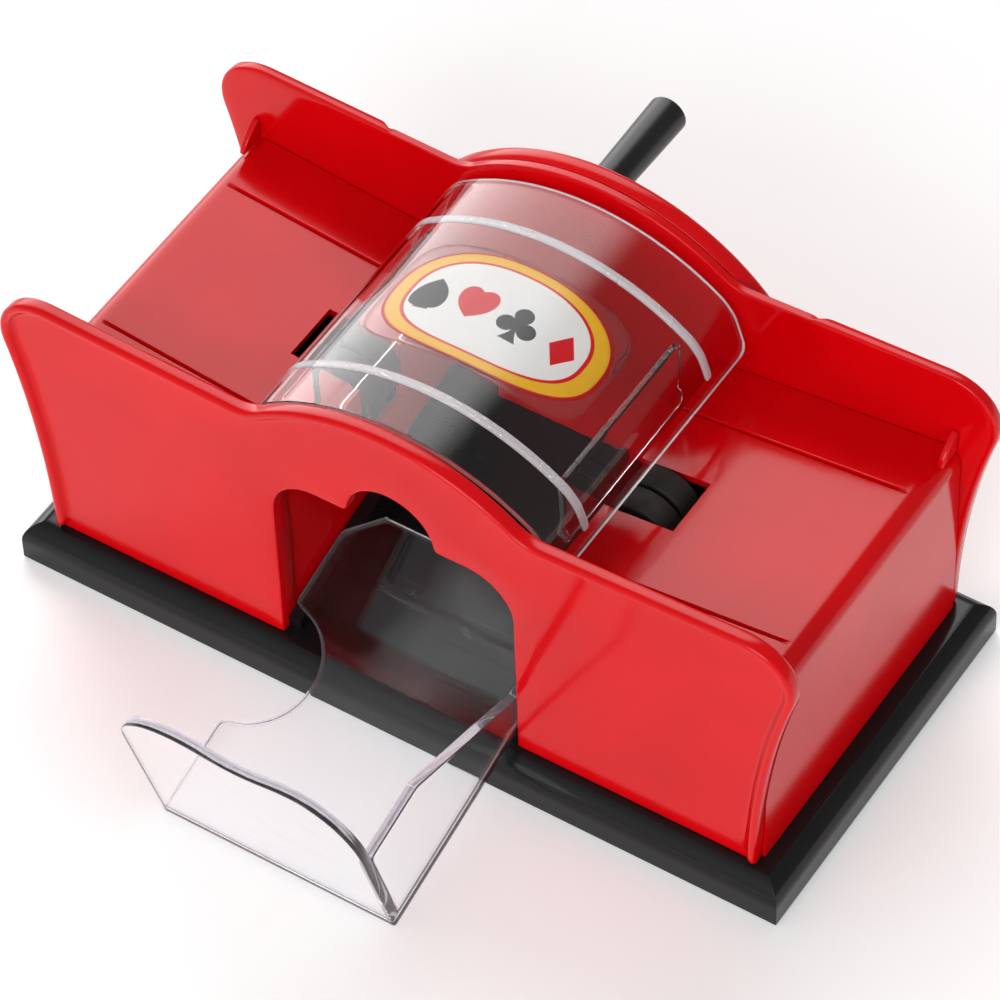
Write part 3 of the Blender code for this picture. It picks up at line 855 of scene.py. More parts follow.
def dress(
    piece: bpy.types.Object,
    materials: Union[bpy.types.Material, Sequence[bpy.types.Material]],
    body: Body,
    slot: str,
    *nodes: str,
) -> bpy.types.Object:
    """Gives a piece its materials and its body, and hides the CAD nodes that it stands for.

    Args:
        piece: The finished piece.
        materials: One material, or one for each of its slots.
        body: The body that it moves with.
        slot: The record's material slot; not used.
        nodes: CAD nodes that it replaces.

    Returns:
        The piece.
    """
    chosen = materials if isinstance(materials, (list, tuple)) else [materials]
    for made in chosen:
        piece.data.materials.append(made)
    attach(piece, body.value)
    if nodes:
        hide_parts(*nodes)
    LOG.info("%s: %d faces, on %s", piece.name, len(piece.data.polygons), body.value)
    return piece


def node_box(node: str) -> tuple[Array, Array]:
    """The low and the high corner of a CAD node, in millimetres."""
    low, high = (np.array(corner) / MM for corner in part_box(node))
    return low, high


def node_axis(node: str) -> Array:
    """x and z of a CAD node's middle, which is the axis of a piece turned about Y."""
    low, high = node_box(node)
    return (low[[0, 2]] + high[[0, 2]]) / 2


# Sub-assemblies.


@dataclass
class Plinth:
    """The black base moulding with its large round-over and mitred corners."""

    radius: float = 6.0
    rim: float = 7.0
    skin: float = 3.0
    foot_edge: float = 0.6
    arris: float = 0.45
    arris_angle: float = 24.0

    def build(self, finishes: Finishes) -> None:
        """Carries the section round the rectangle: foot, upright band, round-over, flat top."""
        half_x, half_y, height = node_box("base")[1]
        outline = np.array([(1, 1), (-1, 1), (-1, -1), (1, -1)]) * np.array([half_x, half_y])
        shoulder, edge = height - self.radius, self.foot_edge
        section = join(
            [(self.rim + 2.0, height - self.skin), (self.rim, height - self.skin)],
            [(self.rim, 0.3), (self.rim - 0.3, 0.0), (1.0, 0.0)],
            arc((edge, edge), edge, 270.0, 180.0, 4),
            [(0.0, shoulder - edge)],
            arc((self.radius, shoulder), self.radius, 180.0, 90.0, 16),
            [(self.radius + 1.0, height)],
        )
        piece = banded_plate("plinth", outline, section, level, mitred=True)
        soften(piece, self.arris, self.arris_angle, 2)
        dress(piece, finishes.black, Body.FRAME, "black_base", "base")


@dataclass
class Walls:
    """The two long walls: flared ends, a humped rim with a rolled lip, and the front opening."""

    inner: float = 45.0
    thick: float = 2.2
    front_lip: float = 2.0
    back_lip: float = 1.0
    lip_width: float = 2.6
    foot: float = 12.6
    foot_x: float = 101.3
    foot_pull: Point = (101.9, 40.0)
    flare_pull: Point = (106.0, 62.0)
    flare: Point = (110.4, 77.0)
    corner_pull: Point = (112.95, 86.5)
    rim_pull: Point = (106.5, 94.4)
    rim_outer: Point = (96.0, 94.0)
    shoulder_z: float = 91.8
    shoulder_radius: float = 12.0
    hump: float = 60.3
    hump_z: float = 45.3
    open_half: float = 34.0
    open_top: float = 71.2
    open_corner: float = 12.5
    finger: float = 12.3
    jamb: float = 4.7
    jamb_thick: float = 2.0
    case_gap: float = 1.5
    catch_x: Point = (-9.0, -1.0)
    catch_drop: float = 4.4
    catch_height: float = 3.4
    catch_chamfer: Point = (1.0, 0.6)
    catch_depth: Point = (0.05, 1.7)
    step: float = 1.1
    fine_step: float = 0.6
    sill_step: float = 0.8

    def half_rim(self) -> Array:
        """The right half of the edge: flare, outer corner, straight rim, shoulder and hump."""
        reach = self.hump + self.shoulder_radius
        centre_z = self.shoulder_z + self.shoulder_radius
        centre_x = math.sqrt(reach**2 - (centre_z - self.hump_z) ** 2)
        turn = math.degrees(math.atan2(centre_z - self.hump_z, centre_x))
        start = (self.foot_x, self.foot)
        return join(
            bezier((start, self.foot_pull, self.flare_pull, self.flare), 30),
            bezier((self.flare, self.corner_pull, self.rim_pull, self.rim_outer), 30),
            arc((centre_x, centre_z), self.shoulder_radius, 270.0, 180.0 + turn, 16),
            arc((0.0, self.hump_z), self.hump, turn, 90.0, 40),
        )

    def half_opening(self) -> Array:
        """The left half of the front opening, from the top of its finger arch to its foot."""
        corner = (-self.open_half + self.open_corner, self.open_top - self.open_corner)
        path = join(
            arc((0.0, self.open_top), self.finger, 90.0, 180.0, 20),
            arc(corner, self.open_corner, 90.0, 180.0, 16),
            [(-self.open_half, self.foot)],
        )
        return relax(resample(path, self.fine_step), 5)

    def lip_band(self, face: float, outward: float, lip: float) -> Array:
        """The rim's section: rounded inner arris, rolled lip, then a hollow that fades out."""
        inner, out, w = face - outward * self.thick, face + outward * lip, self.lip_width
        o, k = outward, outward * lip
        return np.array([
            (3.0, inner), (0.7, inner), (0.2, inner + o * 0.2), (0.0, inner + o * 0.7),
            (0.0, out - k * 0.45), (0.25, out - k * 0.15), (0.85, out), (1.6, out - k * 0.025),
            (w - 0.4, out - k * 0.225), (w, out - k * 0.5), (w + 0.35, out - k * 0.75),
            (w + 1.0, out - k * 0.94), (w + 1.8, face), (6.0, face),
        ])

    def plain_band(self, face: float, outward: float) -> Array:
        """The foot's section, with as many points as the lip's."""
        inner, o = face - outward * self.thick, outward
        spread = np.linspace(0.25, self.thick - 0.25, 5)
        return np.array([
            (6.0, inner), (1.2, inner), (0.25, inner), (0.07, inner + o * 0.07),
            *[(0.0, inner + o * part) for part in spread], (0.07, face - o * 0.07), (0.25, face),
            (1.2, face), (3.0, face), (6.0, face),
        ])

    def jamb_band(self, face: float, outward: float) -> Array:
        """The opening's section: a flange turned inwards, with as many points as the lip's."""
        inner, o, t = face - outward * self.thick, outward, self.jamb_thick
        end = inner - o * self.jamb
        return np.array([
            (6.0, inner), (t + 0.9, inner), (t + 0.25, inner - o * 0.25), (t, inner - o * 0.9),
            (t, end + o * 0.4), (t - 0.4, end), (0.4, end), (0.0, end + o * 0.4),
            (0.0, inner), (0.0, face - o * 0.6), (0.12, face - o * 0.25), (0.35, face - o * 0.08),
            (0.8, face), (6.0, face),
        ])

    def blended(self, parts: Sequence[tuple[Array, Array]]) -> tuple[Array, Array]:
        """Joins stretches of outline and fades each one's section into the next."""
        outline = np.concatenate([path for path, _ in parts])
        bands = np.concatenate([np.repeat(band[None], len(path), 0) for path, band in parts])
        for _ in range(2):
            bands = (np.roll(bands, 1, 0) + 2 * bands + np.roll(bands, -1, 0)) / 4
        return outline, bands

    def front(self, finishes: Finishes) -> None:
        """The front wall, with a lip all along its rim and a flange round its opening."""
        face, out = -self.inner - self.thick, -1.0
        half = resample(self.half_rim(), self.step)
        rim = join(half, mirrored(half))
        opening = self.half_opening()[::-1]
        opening = join(opening, mirrored(opening))
        sill = resample(np.array([rim[-1], opening[0]]), self.sill_step)[1:-1]
        parts = [
            (rim, self.lip_band(face, out, self.front_lip)),
            (sill, self.plain_band(face, out)),
            (opening, self.jamb_band(face, out)),
            (mirrored(sill), self.plain_band(face, out)),
        ]
        outline, bands = self.blended(parts)
        piece = banded_plate("front_shell", outline, bands, upright)
        dress(piece, finishes.red, Body.FRAME, "red_shell", "front_wall")

    def back(self, finishes: Finishes) -> None:
        """The back wall, whose lip runs out where the drive case begins."""
        face, out = self.inner + self.thick, 1.0
        half = resample(self.half_rim(), self.step)
        near_case = half[:, 0] < self.hump + self.case_gap
        split = int(np.argmax(near_case & (half[:, 1] > self.flare[1])))
        crest = join(half[split:], mirrored(half[split:]))
        feet = np.array([(-self.foot_x, self.foot), (self.foot_x, self.foot)])
        sill = resample(feet, self.sill_step)[1:-1]
        parts = [
            (half[:split], self.lip_band(face, out, self.back_lip)),
            (crest, self.plain_band(face, out)),
            (mirrored(half[:split]), self.lip_band(face, out, self.back_lip)),
            (sill, self.plain_band(face, out)),
        ]
        outline, bands = self.blended(parts)
        piece = banded_plate("rear_shell", outline, bands, upright)
        dress(piece, finishes.red, Body.FRAME, "red_shell", "back_wall")

    def clip(self, finishes: Finishes) -> None:
        """The small catch on the inside of the front rim, which keeps the hood in place."""
        (left, right), (dx, dz) = self.catch_x, self.catch_chamfer
        z = self.hump_z + self.hump - self.catch_drop
        low = z - self.catch_height
        outline = join(
            [(left, low), (right, low), (right, z - dz)],
            [(right - dx, z), (left + dx, z), (left, z - dz)],
        )
        near, far = self.catch_depth
        band = rounded_band(near - self.inner, far - self.inner, 0.4, 0.3)
        piece = banded_plate("hood_catch", outline, band, upright)
        dress(piece, finishes.red, Body.FRAME, "red_shell")

    def build(self, finishes: Finishes) -> None:
        """Both walls and the catch."""
        self.front(finishes)
        self.back(finishes)
        self.clip(finishes)


@dataclass
class Deck:
    """One side's card tray, which slopes to the middle and turns down into the end panel."""

    side: Side
    inner_x: float = 34.5
    outer_x: float = 102.0
    edge_z: float = 71.4
    slope: float = 0.112
    wall: float = 2.0
    edge_radius: float = 5.0
    foot: float = 12.6
    notch_x: float = 54.5
    notch_half: float = 8.6
    groove_y: float = 27.0
    groove_end: float = 96.8
    groove_depth: float = 1.0
    groove_half: float = 0.4
    groove_fade: float = 1.5
    groove_reach: float = 1.4
    gusset_drop: float = 0.8
    gusset_curve: tuple[Point, ...] = ((0.3, 6.6), (2.8, 5.4), (6.2, 3.6), (7.2, 0.0))
    gusset_in: Point = (2.8, 1.0)

    def height(self, x: float) -> float:
        """Height of the slope's upper face at x."""
        return self.edge_z - (self.outer_x - x) * self.slope

    def profile(self) -> Array:
        """(x, z) from the inner end up the slope, round the outer edge and down to the foot."""
        lean = math.atan(self.slope)
        centre_x = self.outer_x - self.edge_radius
        centre = (centre_x, self.height(centre_x) - self.edge_radius / math.cos(lean))
        bend = arc(centre, self.edge_radius, 90.0 + math.degrees(lean), 0.0, 12)
        start, notch = ((x, self.height(x)) for x in (self.inner_x, self.notch_x))
        inner = resample(np.array([start, notch]), 4.0)
        outer = resample(np.array([notch, bend[0]]), 1.5)
        down = resample(np.array([bend[-1], (self.outer_x, self.foot)]), 5.0)
        return join(inner, outer, bend, down)

    def stations(self) -> Array:
        """y of the grid's columns, close together where the grooves and the notch are."""
        half = node_box(self.side.label + "_card_tray")[1][1]
        near = np.linspace(-self.groove_reach, self.groove_reach, 15)
        notch = np.array([-self.notch_half, self.notch_half])
        parts = (np.linspace(-half, half, 31), near + self.groove_y, near - self.groove_y, notch)
        y = np.unique(np.round(np.concatenate(parts), 4))
        return y[np.concatenate([[True], np.diff(y) > 0.05])]

    def build(self, finishes: Finishes) -> None:
        """The deck: height falls by a bell-shaped groove, and the notch's faces are left out."""
        path, y = self.profile(), self.stations()
        x, z = np.broadcast_to(path[:, :1], (len(path), len(y))), path[:, 1:] + 0 * y
        reach = np.clip((self.groove_end - x) / self.groove_fade, 0.0, 1.0)
        on_top = x < self.outer_x - self.edge_radius
        bell = np.exp(-(((np.abs(y) - self.groove_y) / self.groove_half) ** 4))
        z = z - self.groove_depth * bell * reach * on_top
        points = np.stack([self.side.value * x, y + 0 * x, z], 2)
        faces = quads(*x.shape)
        middle_x, middle_y = x.ravel()[faces].mean(1), (y + 0 * x).ravel()[faces].mean(1)
        faces = faces[~((middle_x < self.notch_x) & (np.abs(middle_y) < self.notch_half))]
        if self.side is Side.LEFT:
            faces = faces[:, ::-1]
        label = self.side.label
        nodes = (label + "_card_tray", label + "_end_panel")
        piece = make_object(label + "_deck", points, faces, recalculate=False)
        thicken(piece, self.wall)
        soften(piece, 0.35, 50.0)
        dress(piece, finishes.red, Body.FRAME, "red_shell", *nodes)
        self.gussets(finishes, half=y[-1])

    def gussets(self, finishes: Finishes, half: float) -> None:
        """Two webs that stiffen the outer corners where the deck meets the walls.

        Args:
            finishes: The materials.
            half: y of the wall's inner face.
        """
        foot, top, wall = self.edge_z - self.gusset_drop, self.gusset_curve[0][1], half - 0.05
        slope = bezier([(half - reach, foot + rise) for reach, rise in self.gusset_curve], 14)
        right = join([(wall, foot), (wall, foot + top)], slope)
        low, high = sorted(self.side.value * (self.outer_x - reach) for reach in self.gusset_in)
        band = rounded_band(low, high, 0.5, 0.2)
        for end, outline in (("front", mirrored(right)), ("back", right)):
            piece = banded_plate("_".join((self.side.label, end, "gusset")), outline, band, sideways)
            dress(piece, finishes.red, Body.FRAME, "red_shell")


@dataclass
class DriveCase:
    """The D-shaped case of the gear train on the back wall, with its screws and crank collar."""

    radius: float = 60.3
    centre_z: float = 45.3
    foot: float = 12.6
    start: float = 47.45
    back: float = 53.0
    wall: float = 2.2
    plate: float = 1.5
    edge: float = 1.9
    collar: tuple[Point, ...] = (
        (3.6, -0.8), (3.6, 0.5), (3.9, 0.8), (6.6, 0.8), (7.4, 0.4), (7.9, -0.2), (7.9, -0.8)
    )

    def build(self, finishes: Finishes) -> None:
        """Carries the wall's section round the D: a rounded rear edge, and a hollow inside."""
        corner = (self.radius, self.foot)
        foot = resample(np.array([(-self.radius, self.foot), corner]), 5.0)[1:-1]
        side = resample(np.array([corner, (self.radius, self.centre_z)]), 3.0)[:-1]
        crown = arc((0.0, self.centre_z), self.radius, 0.0, 180.0, 121)
        outline = join(foot, side, crown, mirrored(side))
        inside = self.back - self.plate
        section = join(
            [(self.wall + 3.0, inside), (self.wall + 0.6, inside), (self.wall, inside - 0.6)],
            [(self.wall, self.start + 0.1), (self.wall - 0.1, self.start), (0.2, self.start)],
            [(0.0, self.start + 0.2)],
            arc((self.edge, self.back - self.edge), self.edge, 180.0, 90.0, 8),
            [(self.edge + 1.5, self.back)],
        )
        piece = banded_plate("drive_case", outline, section, upright)
        dress(piece, finishes.red, Body.FRAME, "red_shell", "gear_housing")
        collar = np.array(self.collar) + (0.0, self.back)
        piece = turned("crank_collar", collar, node_axis("crank_bush"), ring=True)
        dress(piece, finishes.red, Body.FRAME, "red_shell")


@dataclass
class PanScrews:
    """Domed screw heads with a cross recess, for the case and for the crank."""

    dome: float = 0.45
    arm_half: float = 0.17
    arm_reach: float = 0.62
    recess_depth: float = 0.32
    edge: float = 0.35
    rings: int = 28
    spokes: int = 64

    def heads(self) -> list[tuple[str, Body]]:
        """Each screw's node and the body that it's driven into."""
        ends = [(end, side.label) for end in ("upper", "lower") for side in Side]
        case = [("_".join(("housing_screw", *end)), Body.FRAME) for end in ends]
        return [*case, ("crank_screw", Body.CRANK)]

    def build(self, finishes: Finishes) -> None:
        """Height is a cubic dome less a cross-shaped recess, in shares of the radius."""
        share, turn = np.linspace(0.0, 1.0, self.rings)[:, None], full_turn(self.spokes)[None]
        across = np.minimum(np.abs(np.cos(turn)), np.abs(np.sin(turn))) * share
        recess = np.clip((self.arm_half - across) / 0.06, 0.0, 1.0)
        recess = recess * np.clip((self.arm_reach - share) / 0.12, 0.0, 1.0)
        fall = self.dome * share**3 + self.recess_depth * recess
        for node, body in self.heads():
            low, high = node_box(node)
            (x, z), radius = node_axis(node), (high[0] - low[0]) / 2
            right, up = x + radius * share * np.cos(turn), z + radius * share * np.sin(turn)
            foot = np.full_like(fall, high[1] - self.dome * radius - self.edge)
            head = np.stack([right, high[1] - radius * fall, up], 2)
            under = np.stack([right, foot, up], 2)
            faces = quads(2 * self.rings, self.spokes, columns_closed=True)
            piece = make_object(node + "_head", np.concatenate([head, under[::-1]]), faces)
            dress(piece, finishes.steel, body, "steel", node)


@dataclass
class Rollers:
    """The rubber tyres, slightly crowned with rounded shoulders."""

    shoulder: float = 0.7
    crown: float = 0.12
    bore_gap: float = 0.1

    def section(self, low: Array, high: Array, bore: float) -> Array:
        """A tyre's section: bore, rounded shoulders and a crown that is a shallow parabola.

        Args:
            low: The low corner of the tyre's box.
            high: Its high corner.
            bore: Radius of the hole.

        Returns:
            The closed (radius, y) profile.
        """
        s, y0, y1, radius = self.shoulder, low[1], high[1], (high[0] - low[0]) / 2
        t = np.linspace(-1.0, 1.0, 9)
        middle, half = (y0 + y1) / 2, (y1 - y0) / 2 - s
        face = np.stack([radius - self.crown * t**2, middle + half * t], 1)
        corner = radius - self.crown - s
        first = arc((corner, y0 + s), s, 270.0, 360.0, 5)
        second = arc((corner, y1 - s), s, 0.0, 90.0, 5)
        return join([(bore, y1), (bore, y0)], first[:-1], face, second[1:])

    def build(self, finishes: Finishes) -> None:
        """Two tyres side by side on each roller's hub."""
        for side, body in ((Side.LEFT, Body.LEFT_ROLLER), (Side.RIGHT, Body.RIGHT_ROLLER)):
            low, high = node_box(side.label + "_roller_hub")
            bore = (high[0] - low[0]) / 2 + self.bore_gap
            for end in ("front", "back"):
                node = "_".join((side.label, "tyre", end))
                section = self.section(*node_box(node), bore)
                piece = turned(node + "_rubber", section, node_axis(node), 96, ring=True)
                dress(piece, finishes.tyre, body, "roller_rubber", node)
                weigh(piece)


@dataclass
class Handle:
    """The crank's flat arm and its slightly tapered black grip."""

    arm_start: float = 54.2
    arm_end: float = 58.2
    arm_edge: float = 0.9
    boss: float = 6.4
    tip: float = 5.2
    bore: float = 2.3
    socket: float = 10.0
    taper: float = 0.6
    near_edge: float = 0.7
    far_edge: float = 0.9

    def build(self, finishes: Finishes) -> None:
        """The arm, then the grip on its pin."""
        shaft, pin = node_axis("crank_shaft"), node_axis("knob_pin")
        self.arm(finishes, shaft, pin)
        self.grip(finishes, pin)

    def arm(self, finishes: Finishes, shaft: Array, pin: Array) -> None:
        """A plate whose outline is a circle round the shaft and one round the pin, joined straight.

        Args:
            finishes: The materials.
            shaft: x and z of the crank's axis.
            pin: x and z of the grip's axis.
        """
        lean = math.degrees(math.atan2(*(pin - shaft)[::-1]))
        outline = join(
            arc(pin, self.tip, lean - 90.0, lean + 90.0, 28),
            arc(shaft, self.boss, lean + 90.0, lean + 270.0, 32),
        )
        outline = join(resample(outline, 1.0), resample(outline[[-1, 0]], 1.0)[1:-1])
        band = rounded_band(self.arm_start, self.arm_end, self.arm_edge, 0.8)
        arm = banded_plate("crank_lever", outline, band, upright)
        dress(arm, finishes.satin, Body.CRANK, "black_satin", "crank_arm")

    def grip(self, finishes: Finishes, pin: Array) -> None:
        """A turned bar that swells a little outwards, with a blind hole and a dished end.

        Args:
            finishes: The materials.
            pin: x and z of its axis.
        """
        low, high = node_box("crank_knob")
        radius, start, end = (high[0] - low[0]) / 2, low[1], high[1]
        near, far, bore = self.near_edge, self.far_edge, self.bore
        section = join(
            [(0.0, start + self.socket), (bore, start + self.socket)],
            [(bore, start + 0.3), (bore + 0.3, start)],
            arc((radius - self.taper - near, start + near), near, 270.0, 350.0, 6),
            arc((radius - far, end - far), far, 5.0, 90.0, 8),
            [(radius - 1.4, end), (radius - 1.7, end - 0.25), (0.0, end - 0.3)],
        )
        grip = turned("grip", section, pin, 72)
        weigh(grip)
        dress(grip, finishes.satin, Body.KNOB, "black_satin", "crank_knob")


@dataclass
class Hood:
    """The clear arched cover with its ribs, stops and decal."""

    radius: float = 60.0
    top: float = 101.2
    half: float = 42.5
    wall: float = 1.8
    arc_x: float = 37.0
    flap: Point = (42.6, 75.0)
    knee: Point = (39.4, 85.2)
    corner: float = 3.0
    rib_y: float = 27.5
    rib_width: float = 2.6
    rib_height: float = 1.3
    rib_end: Point = (41.6, 78.2)
    rib_taper: float = 3.0
    rib_tip: float = 0.45
    stop_x: float = 33.5
    stop_z: Point = (67.6, 88.6)
    stop_half: float = 26.0
    decal_shift: float = 1.0
    film_half: Point = (31.4, 18.0)
    film_power: float = 5.0
    film: Point = (0.22, 0.12)
    print_half: Point = (30.0, 17.0)
    print_power: float = 2.5
    ink: Point = (0.36, 0.1)

    @property
    def centre_z(self) -> float:
        """Height of the arch's axis."""
        return self.top - self.radius

    def path(self, end: Point, lift: float = 0.0) -> Array:
        """(x, z) across the hood from its left end to its right one, raised off its face by a lift."""
        turn = math.degrees(math.acos(self.arc_x / self.radius))
        half = join([end, self.knee], arc((0.0, self.centre_z), self.radius, turn, 90.0, 60))
        half = relax(resample(half, 0.5), 4)
        whole = join(half, mirrored(half))
        return whole - lift * left_normals(whole, False)

    def build(self, finishes: Finishes) -> None:
        """The arched sheet, then what is moulded or stuck on it."""
        self.sheet(finishes)
        self.ribs(finishes)
        self.stops(finishes)
        self.decal(finishes)

    def sheet(self, finishes: Finishes) -> None:
        """The arch's path times y, with its corners drawn in by quarter circles."""
        path = resample(self.path(self.flap), 0.8)
        run = np.linspace(0.0, 1.0, len(path))
        length = np.linalg.norm(np.diff(path, axis=0), axis=1).sum()
        edge = np.minimum(run, 1.0 - run) * length
        short = np.maximum(self.corner - edge, 0.0)
        inset = self.corner - np.sqrt(self.corner**2 - short**2)
        across = np.linspace(-1.0, 1.0, 41)[None]
        y = (self.half - inset[:, None]) * across
        points = np.stack([path[:, :1] + 0 * y, y, path[:, 1:] + 0 * y], 2)
        faces = quads(len(path), across.shape[1])
        piece = make_object("clear_hood", points, faces, recalculate=False)
        thicken(piece, self.wall, 1)
        soften(piece, 0.4, 50.0)
        dress(piece, [finishes.hood, finishes.hood_edge], Body.COVER, "clear_cover", "top_cover")

    def ribs(self, finishes: Finishes) -> None:
        """A flat-bottomed bead carried along the arch, tapered at its hooked ends."""
        base = resample(self.path(self.rib_end, 0.03), 0.8)
        normals = -left_normals(base, False)
        run = np.linspace(0.0, 1.0, len(base))
        ends = np.clip(np.minimum(run, 1.0 - run) * len(base) / self.rib_taper, 0.0, 1.0)
        swell = self.rib_tip + (1.0 - self.rib_tip) * np.sqrt(1.0 - (1.0 - ends[:, None]) ** 2)
        size = np.array([self.rib_width / 2, self.rib_height - 0.1])
        section = arc((0.0, 0.0), 1.0, 0.0, 180.0, 11) * size
        out, across = section[None, :, 1] * swell, section[None, :, 0] * swell**0.5
        x, z = base[:, :1] + normals[:, :1] * out, base[:, 1:] + normals[:, 1:] * out
        rows, columns = x.shape
        for end, sign in (("front", -1.0), ("back", 1.0)):
            points = np.stack([x, sign * self.rib_y + across, z], 2)
            faces = quads(rows, columns, columns_closed=True).tolist()
            faces += [list(range(columns)), list(range((rows - 1) * columns, rows * columns))]
            piece = make_object("hood_rib_" + end, points, faces)
            dress(piece, finishes.frosted, Body.COVER, "clear_cover")

    def stops(self, finishes: Finishes) -> None:
        """The lips under the arch that hold the decks back."""
        for side in Side:
            low, high, half = *self.stop_z, self.stop_half
            corners = [(-half, low), (half, low), (half, high), (-half, high), (-half, low)]
            outline = relax(resample(np.array(corners), 1.0), 4)[:-1]
            x = sorted((side.value * self.stop_x, side.value * (self.stop_x + self.wall)))
            piece = banded_plate("hood_stop_" + side.label, outline, rounded_band(*x, 0.4), sideways)
            dress(piece, finishes.hood, Body.COVER, "clear_cover")

    def wrapped(self, name: str, half: Point, power: float, layer: Point) -> bpy.types.Object:
        """A patch on the arch: a superellipse in arc length and y, rolled on to the cylinder.

        Args:
            name: The piece's name.
            half: Half its size along the arch and across it.
            power: 2 for an ellipse, more for a squarer outline.
            layer: Height of its outer face over the arch, and its thickness.

        Returns:
            The piece.
        """
        share, turn = np.linspace(0.0, 1.0, 17)[:, None], full_turn(160)[None]
        cos, sin = np.cos(turn), np.sin(turn)
        reach = share * (np.abs(cos) ** power + np.abs(sin) ** power) ** (-1.0 / power)
        angle, out = reach * cos * half[0] / self.radius, self.radius + layer[0]
        y = reach * sin * half[1] + self.decal_shift
        points = np.stack([out * np.sin(angle), y, self.centre_z + out * np.cos(angle)], 2)
        faces = quads(*reach.shape, columns_closed=True)[:, ::-1]
        piece = make_object(name, points, faces, recalculate=False)
        thicken(piece, layer[1])
        return piece

    def decal(self, finishes: Finishes) -> None:
        """The printed oval on its clear carrier film."""
        film = self.wrapped("decal_film", self.film_half, self.film_power, self.film)
        dress(film, finishes.film, Body.COVER, "clear_cover")
        oval = self.wrapped("suit_decal", self.print_half, self.print_power, self.ink)
        ink = SuitPrint(
            "suit_print", self.print_half, self.radius, self.decal_shift, self.print_power
        ).material()
        dress(oval, ink, Body.COVER, "cover_print", "cover_label")


@dataclass
class Sled:
    """The clear receiving tray: floor with a finger cut-out, wavy front and tapered right wall."""

    tilt: float = 16.0
    origin: tuple[float, float, float] = (0.0, -100.5, 0.3)
    half: float = 33.3
    length: float = 91.0
    sheet: float = 2.6
    front_height: float = 60.7
    wave: float = 1.3
    left_shoulder: Point = (-15.0, 44.0)
    right_shoulder: Point = (18.0, 38.0)
    side_height: float = 36.0
    side_back: float = 12.0
    side_fall: Point = (23.0, 61.0)
    side_end: Point = (0.4, 8.0)
    clipped: float = 8.0
    bite: Point = (-34.8, 43.5)
    bite_radius: float = 17.2
    bite_turn: float = 72.0
    bite_ends: Point = (26.0, 61.0)
    joint: float = 0.03

    def tilted(self, turn: Place) -> Place:
        """A placing that first sets the plate in the tray's own frame and then tilts it about X."""
        cos, sin = math.cos(math.radians(self.tilt)), math.sin(math.radians(self.tilt))
        spin = np.array([[1.0, 0.0, 0.0], [0.0, cos, -sin], [0.0, sin, cos]])
        return lambda points: turn(points) @ spin.T + np.array(self.origin)

    def floor(self) -> Array:
        """The floor's outline, with a clipped back corner and a round bite for a finger."""
        h, length, clip = self.half, self.length, self.clipped
        near, far = self.bite_ends
        bite = arc(self.bite, self.bite_radius, self.bite_turn, -self.bite_turn, 40)
        back = [(clip - h, length), (-h, length - clip), (-h, far)]
        left = relax(resample(join(back, bite, [(-h, near), (-h, 0.0)]), 0.8), 3)
        rest = np.array([(-h, 0.0), (h, 0.0), (h, length), (clip - h, length)])
        return join(left, relax(resample(rest, 0.8), 1)[1:-1])

    def front(self) -> Array:
        """The front plate: upright sides, elliptic shoulders and one wave of a cosine between them."""
        h, low, height = self.half, self.sheet + self.joint, self.front_height
        (left, left_z), (right, right_z) = self.left_shoulder, self.right_shoulder
        share = np.linspace(0.0, 1.0, 40)[1:-1]
        dip = self.wave * (1.0 - np.cos(2.0 * math.pi * share))
        crest = np.stack([right + (left - right) * share, height - dip], 1)
        unit = arc((0.0, 0.0), 1.0, 0.0, 90.0, 30)
        falls = unit * (h - right, height - right_z) + (right, right_z)
        rises = mirrored(unit) * (h + left, height - left_z) + (left, left_z)
        top = resample(join([(h, low)], falls, crest, rises, [(-h, low)]), 0.9)
        return join(relax(top, 3), resample(top[[-1, 0]], 0.9)[1:-1])

    def wall(self) -> Array:
        """The right wall: full height at the front, then a straight fall to a low back."""
        low, (front, back) = self.sheet + self.joint, self.side_fall
        end = self.length - self.side_end[0]
        path = [(low, low), (end, low), (end, self.side_end[1]), (back, self.side_back)]
        path += [(front, self.side_height), (low, self.side_height), (low, low)]
        return relax(resample(np.array(path), 0.8), 3)[:-1]

    def build(self, finishes: Finishes) -> None:
        """Three glued sheets whose sawn edges have their own finish."""
        sheets = (
            ("sled_floor", self.floor(), (0.0, self.sheet), level, ("receiving_tray",)),
            ("sled_front", self.front(), (0.0, self.sheet), upright, ()),
            ("sled_side", self.wall(), (self.half - self.sheet, self.half), sideways, ()),
        )
        for name, outline, (start, end), turn, nodes in sheets:
            band = rounded_band(start, end, 0.22, 0.5, 3)
            piece = banded_plate(name, outline, band, self.tilted(turn), edge_slot=True)
            materials = [finishes.sheet, finishes.sheet_edge]
            dress(piece, materials, Body.TRAY, "clear_tray", *nodes)


@dataclass
class KeptNodes:
    """CAD nodes whose shape is right, which only get their finish."""

    def build(self, finishes: Finishes) -> None:
        """Assigns a material to each node by what its name says it is."""
        by_word = (
            (("chute_wall", "front_bearing"), finishes.red),
            (("rail",), finishes.black),
            (("bottom_cover",), finishes.underside),
            (("pad_",), finishes.pad),
            (("hub",), finishes.satin),
            (("shaft", "_pin"), finishes.steel),
            (("bush", "gear", "pinion"), finishes.nylon),
        )
        for name, node in frame["nodes"].items():
            for words, finish in by_word:
                if any(word in name for word in words):
                    node.data.materials.clear()
                    node.data.materials.append(finish)
            LOG.info("kept %s", name)


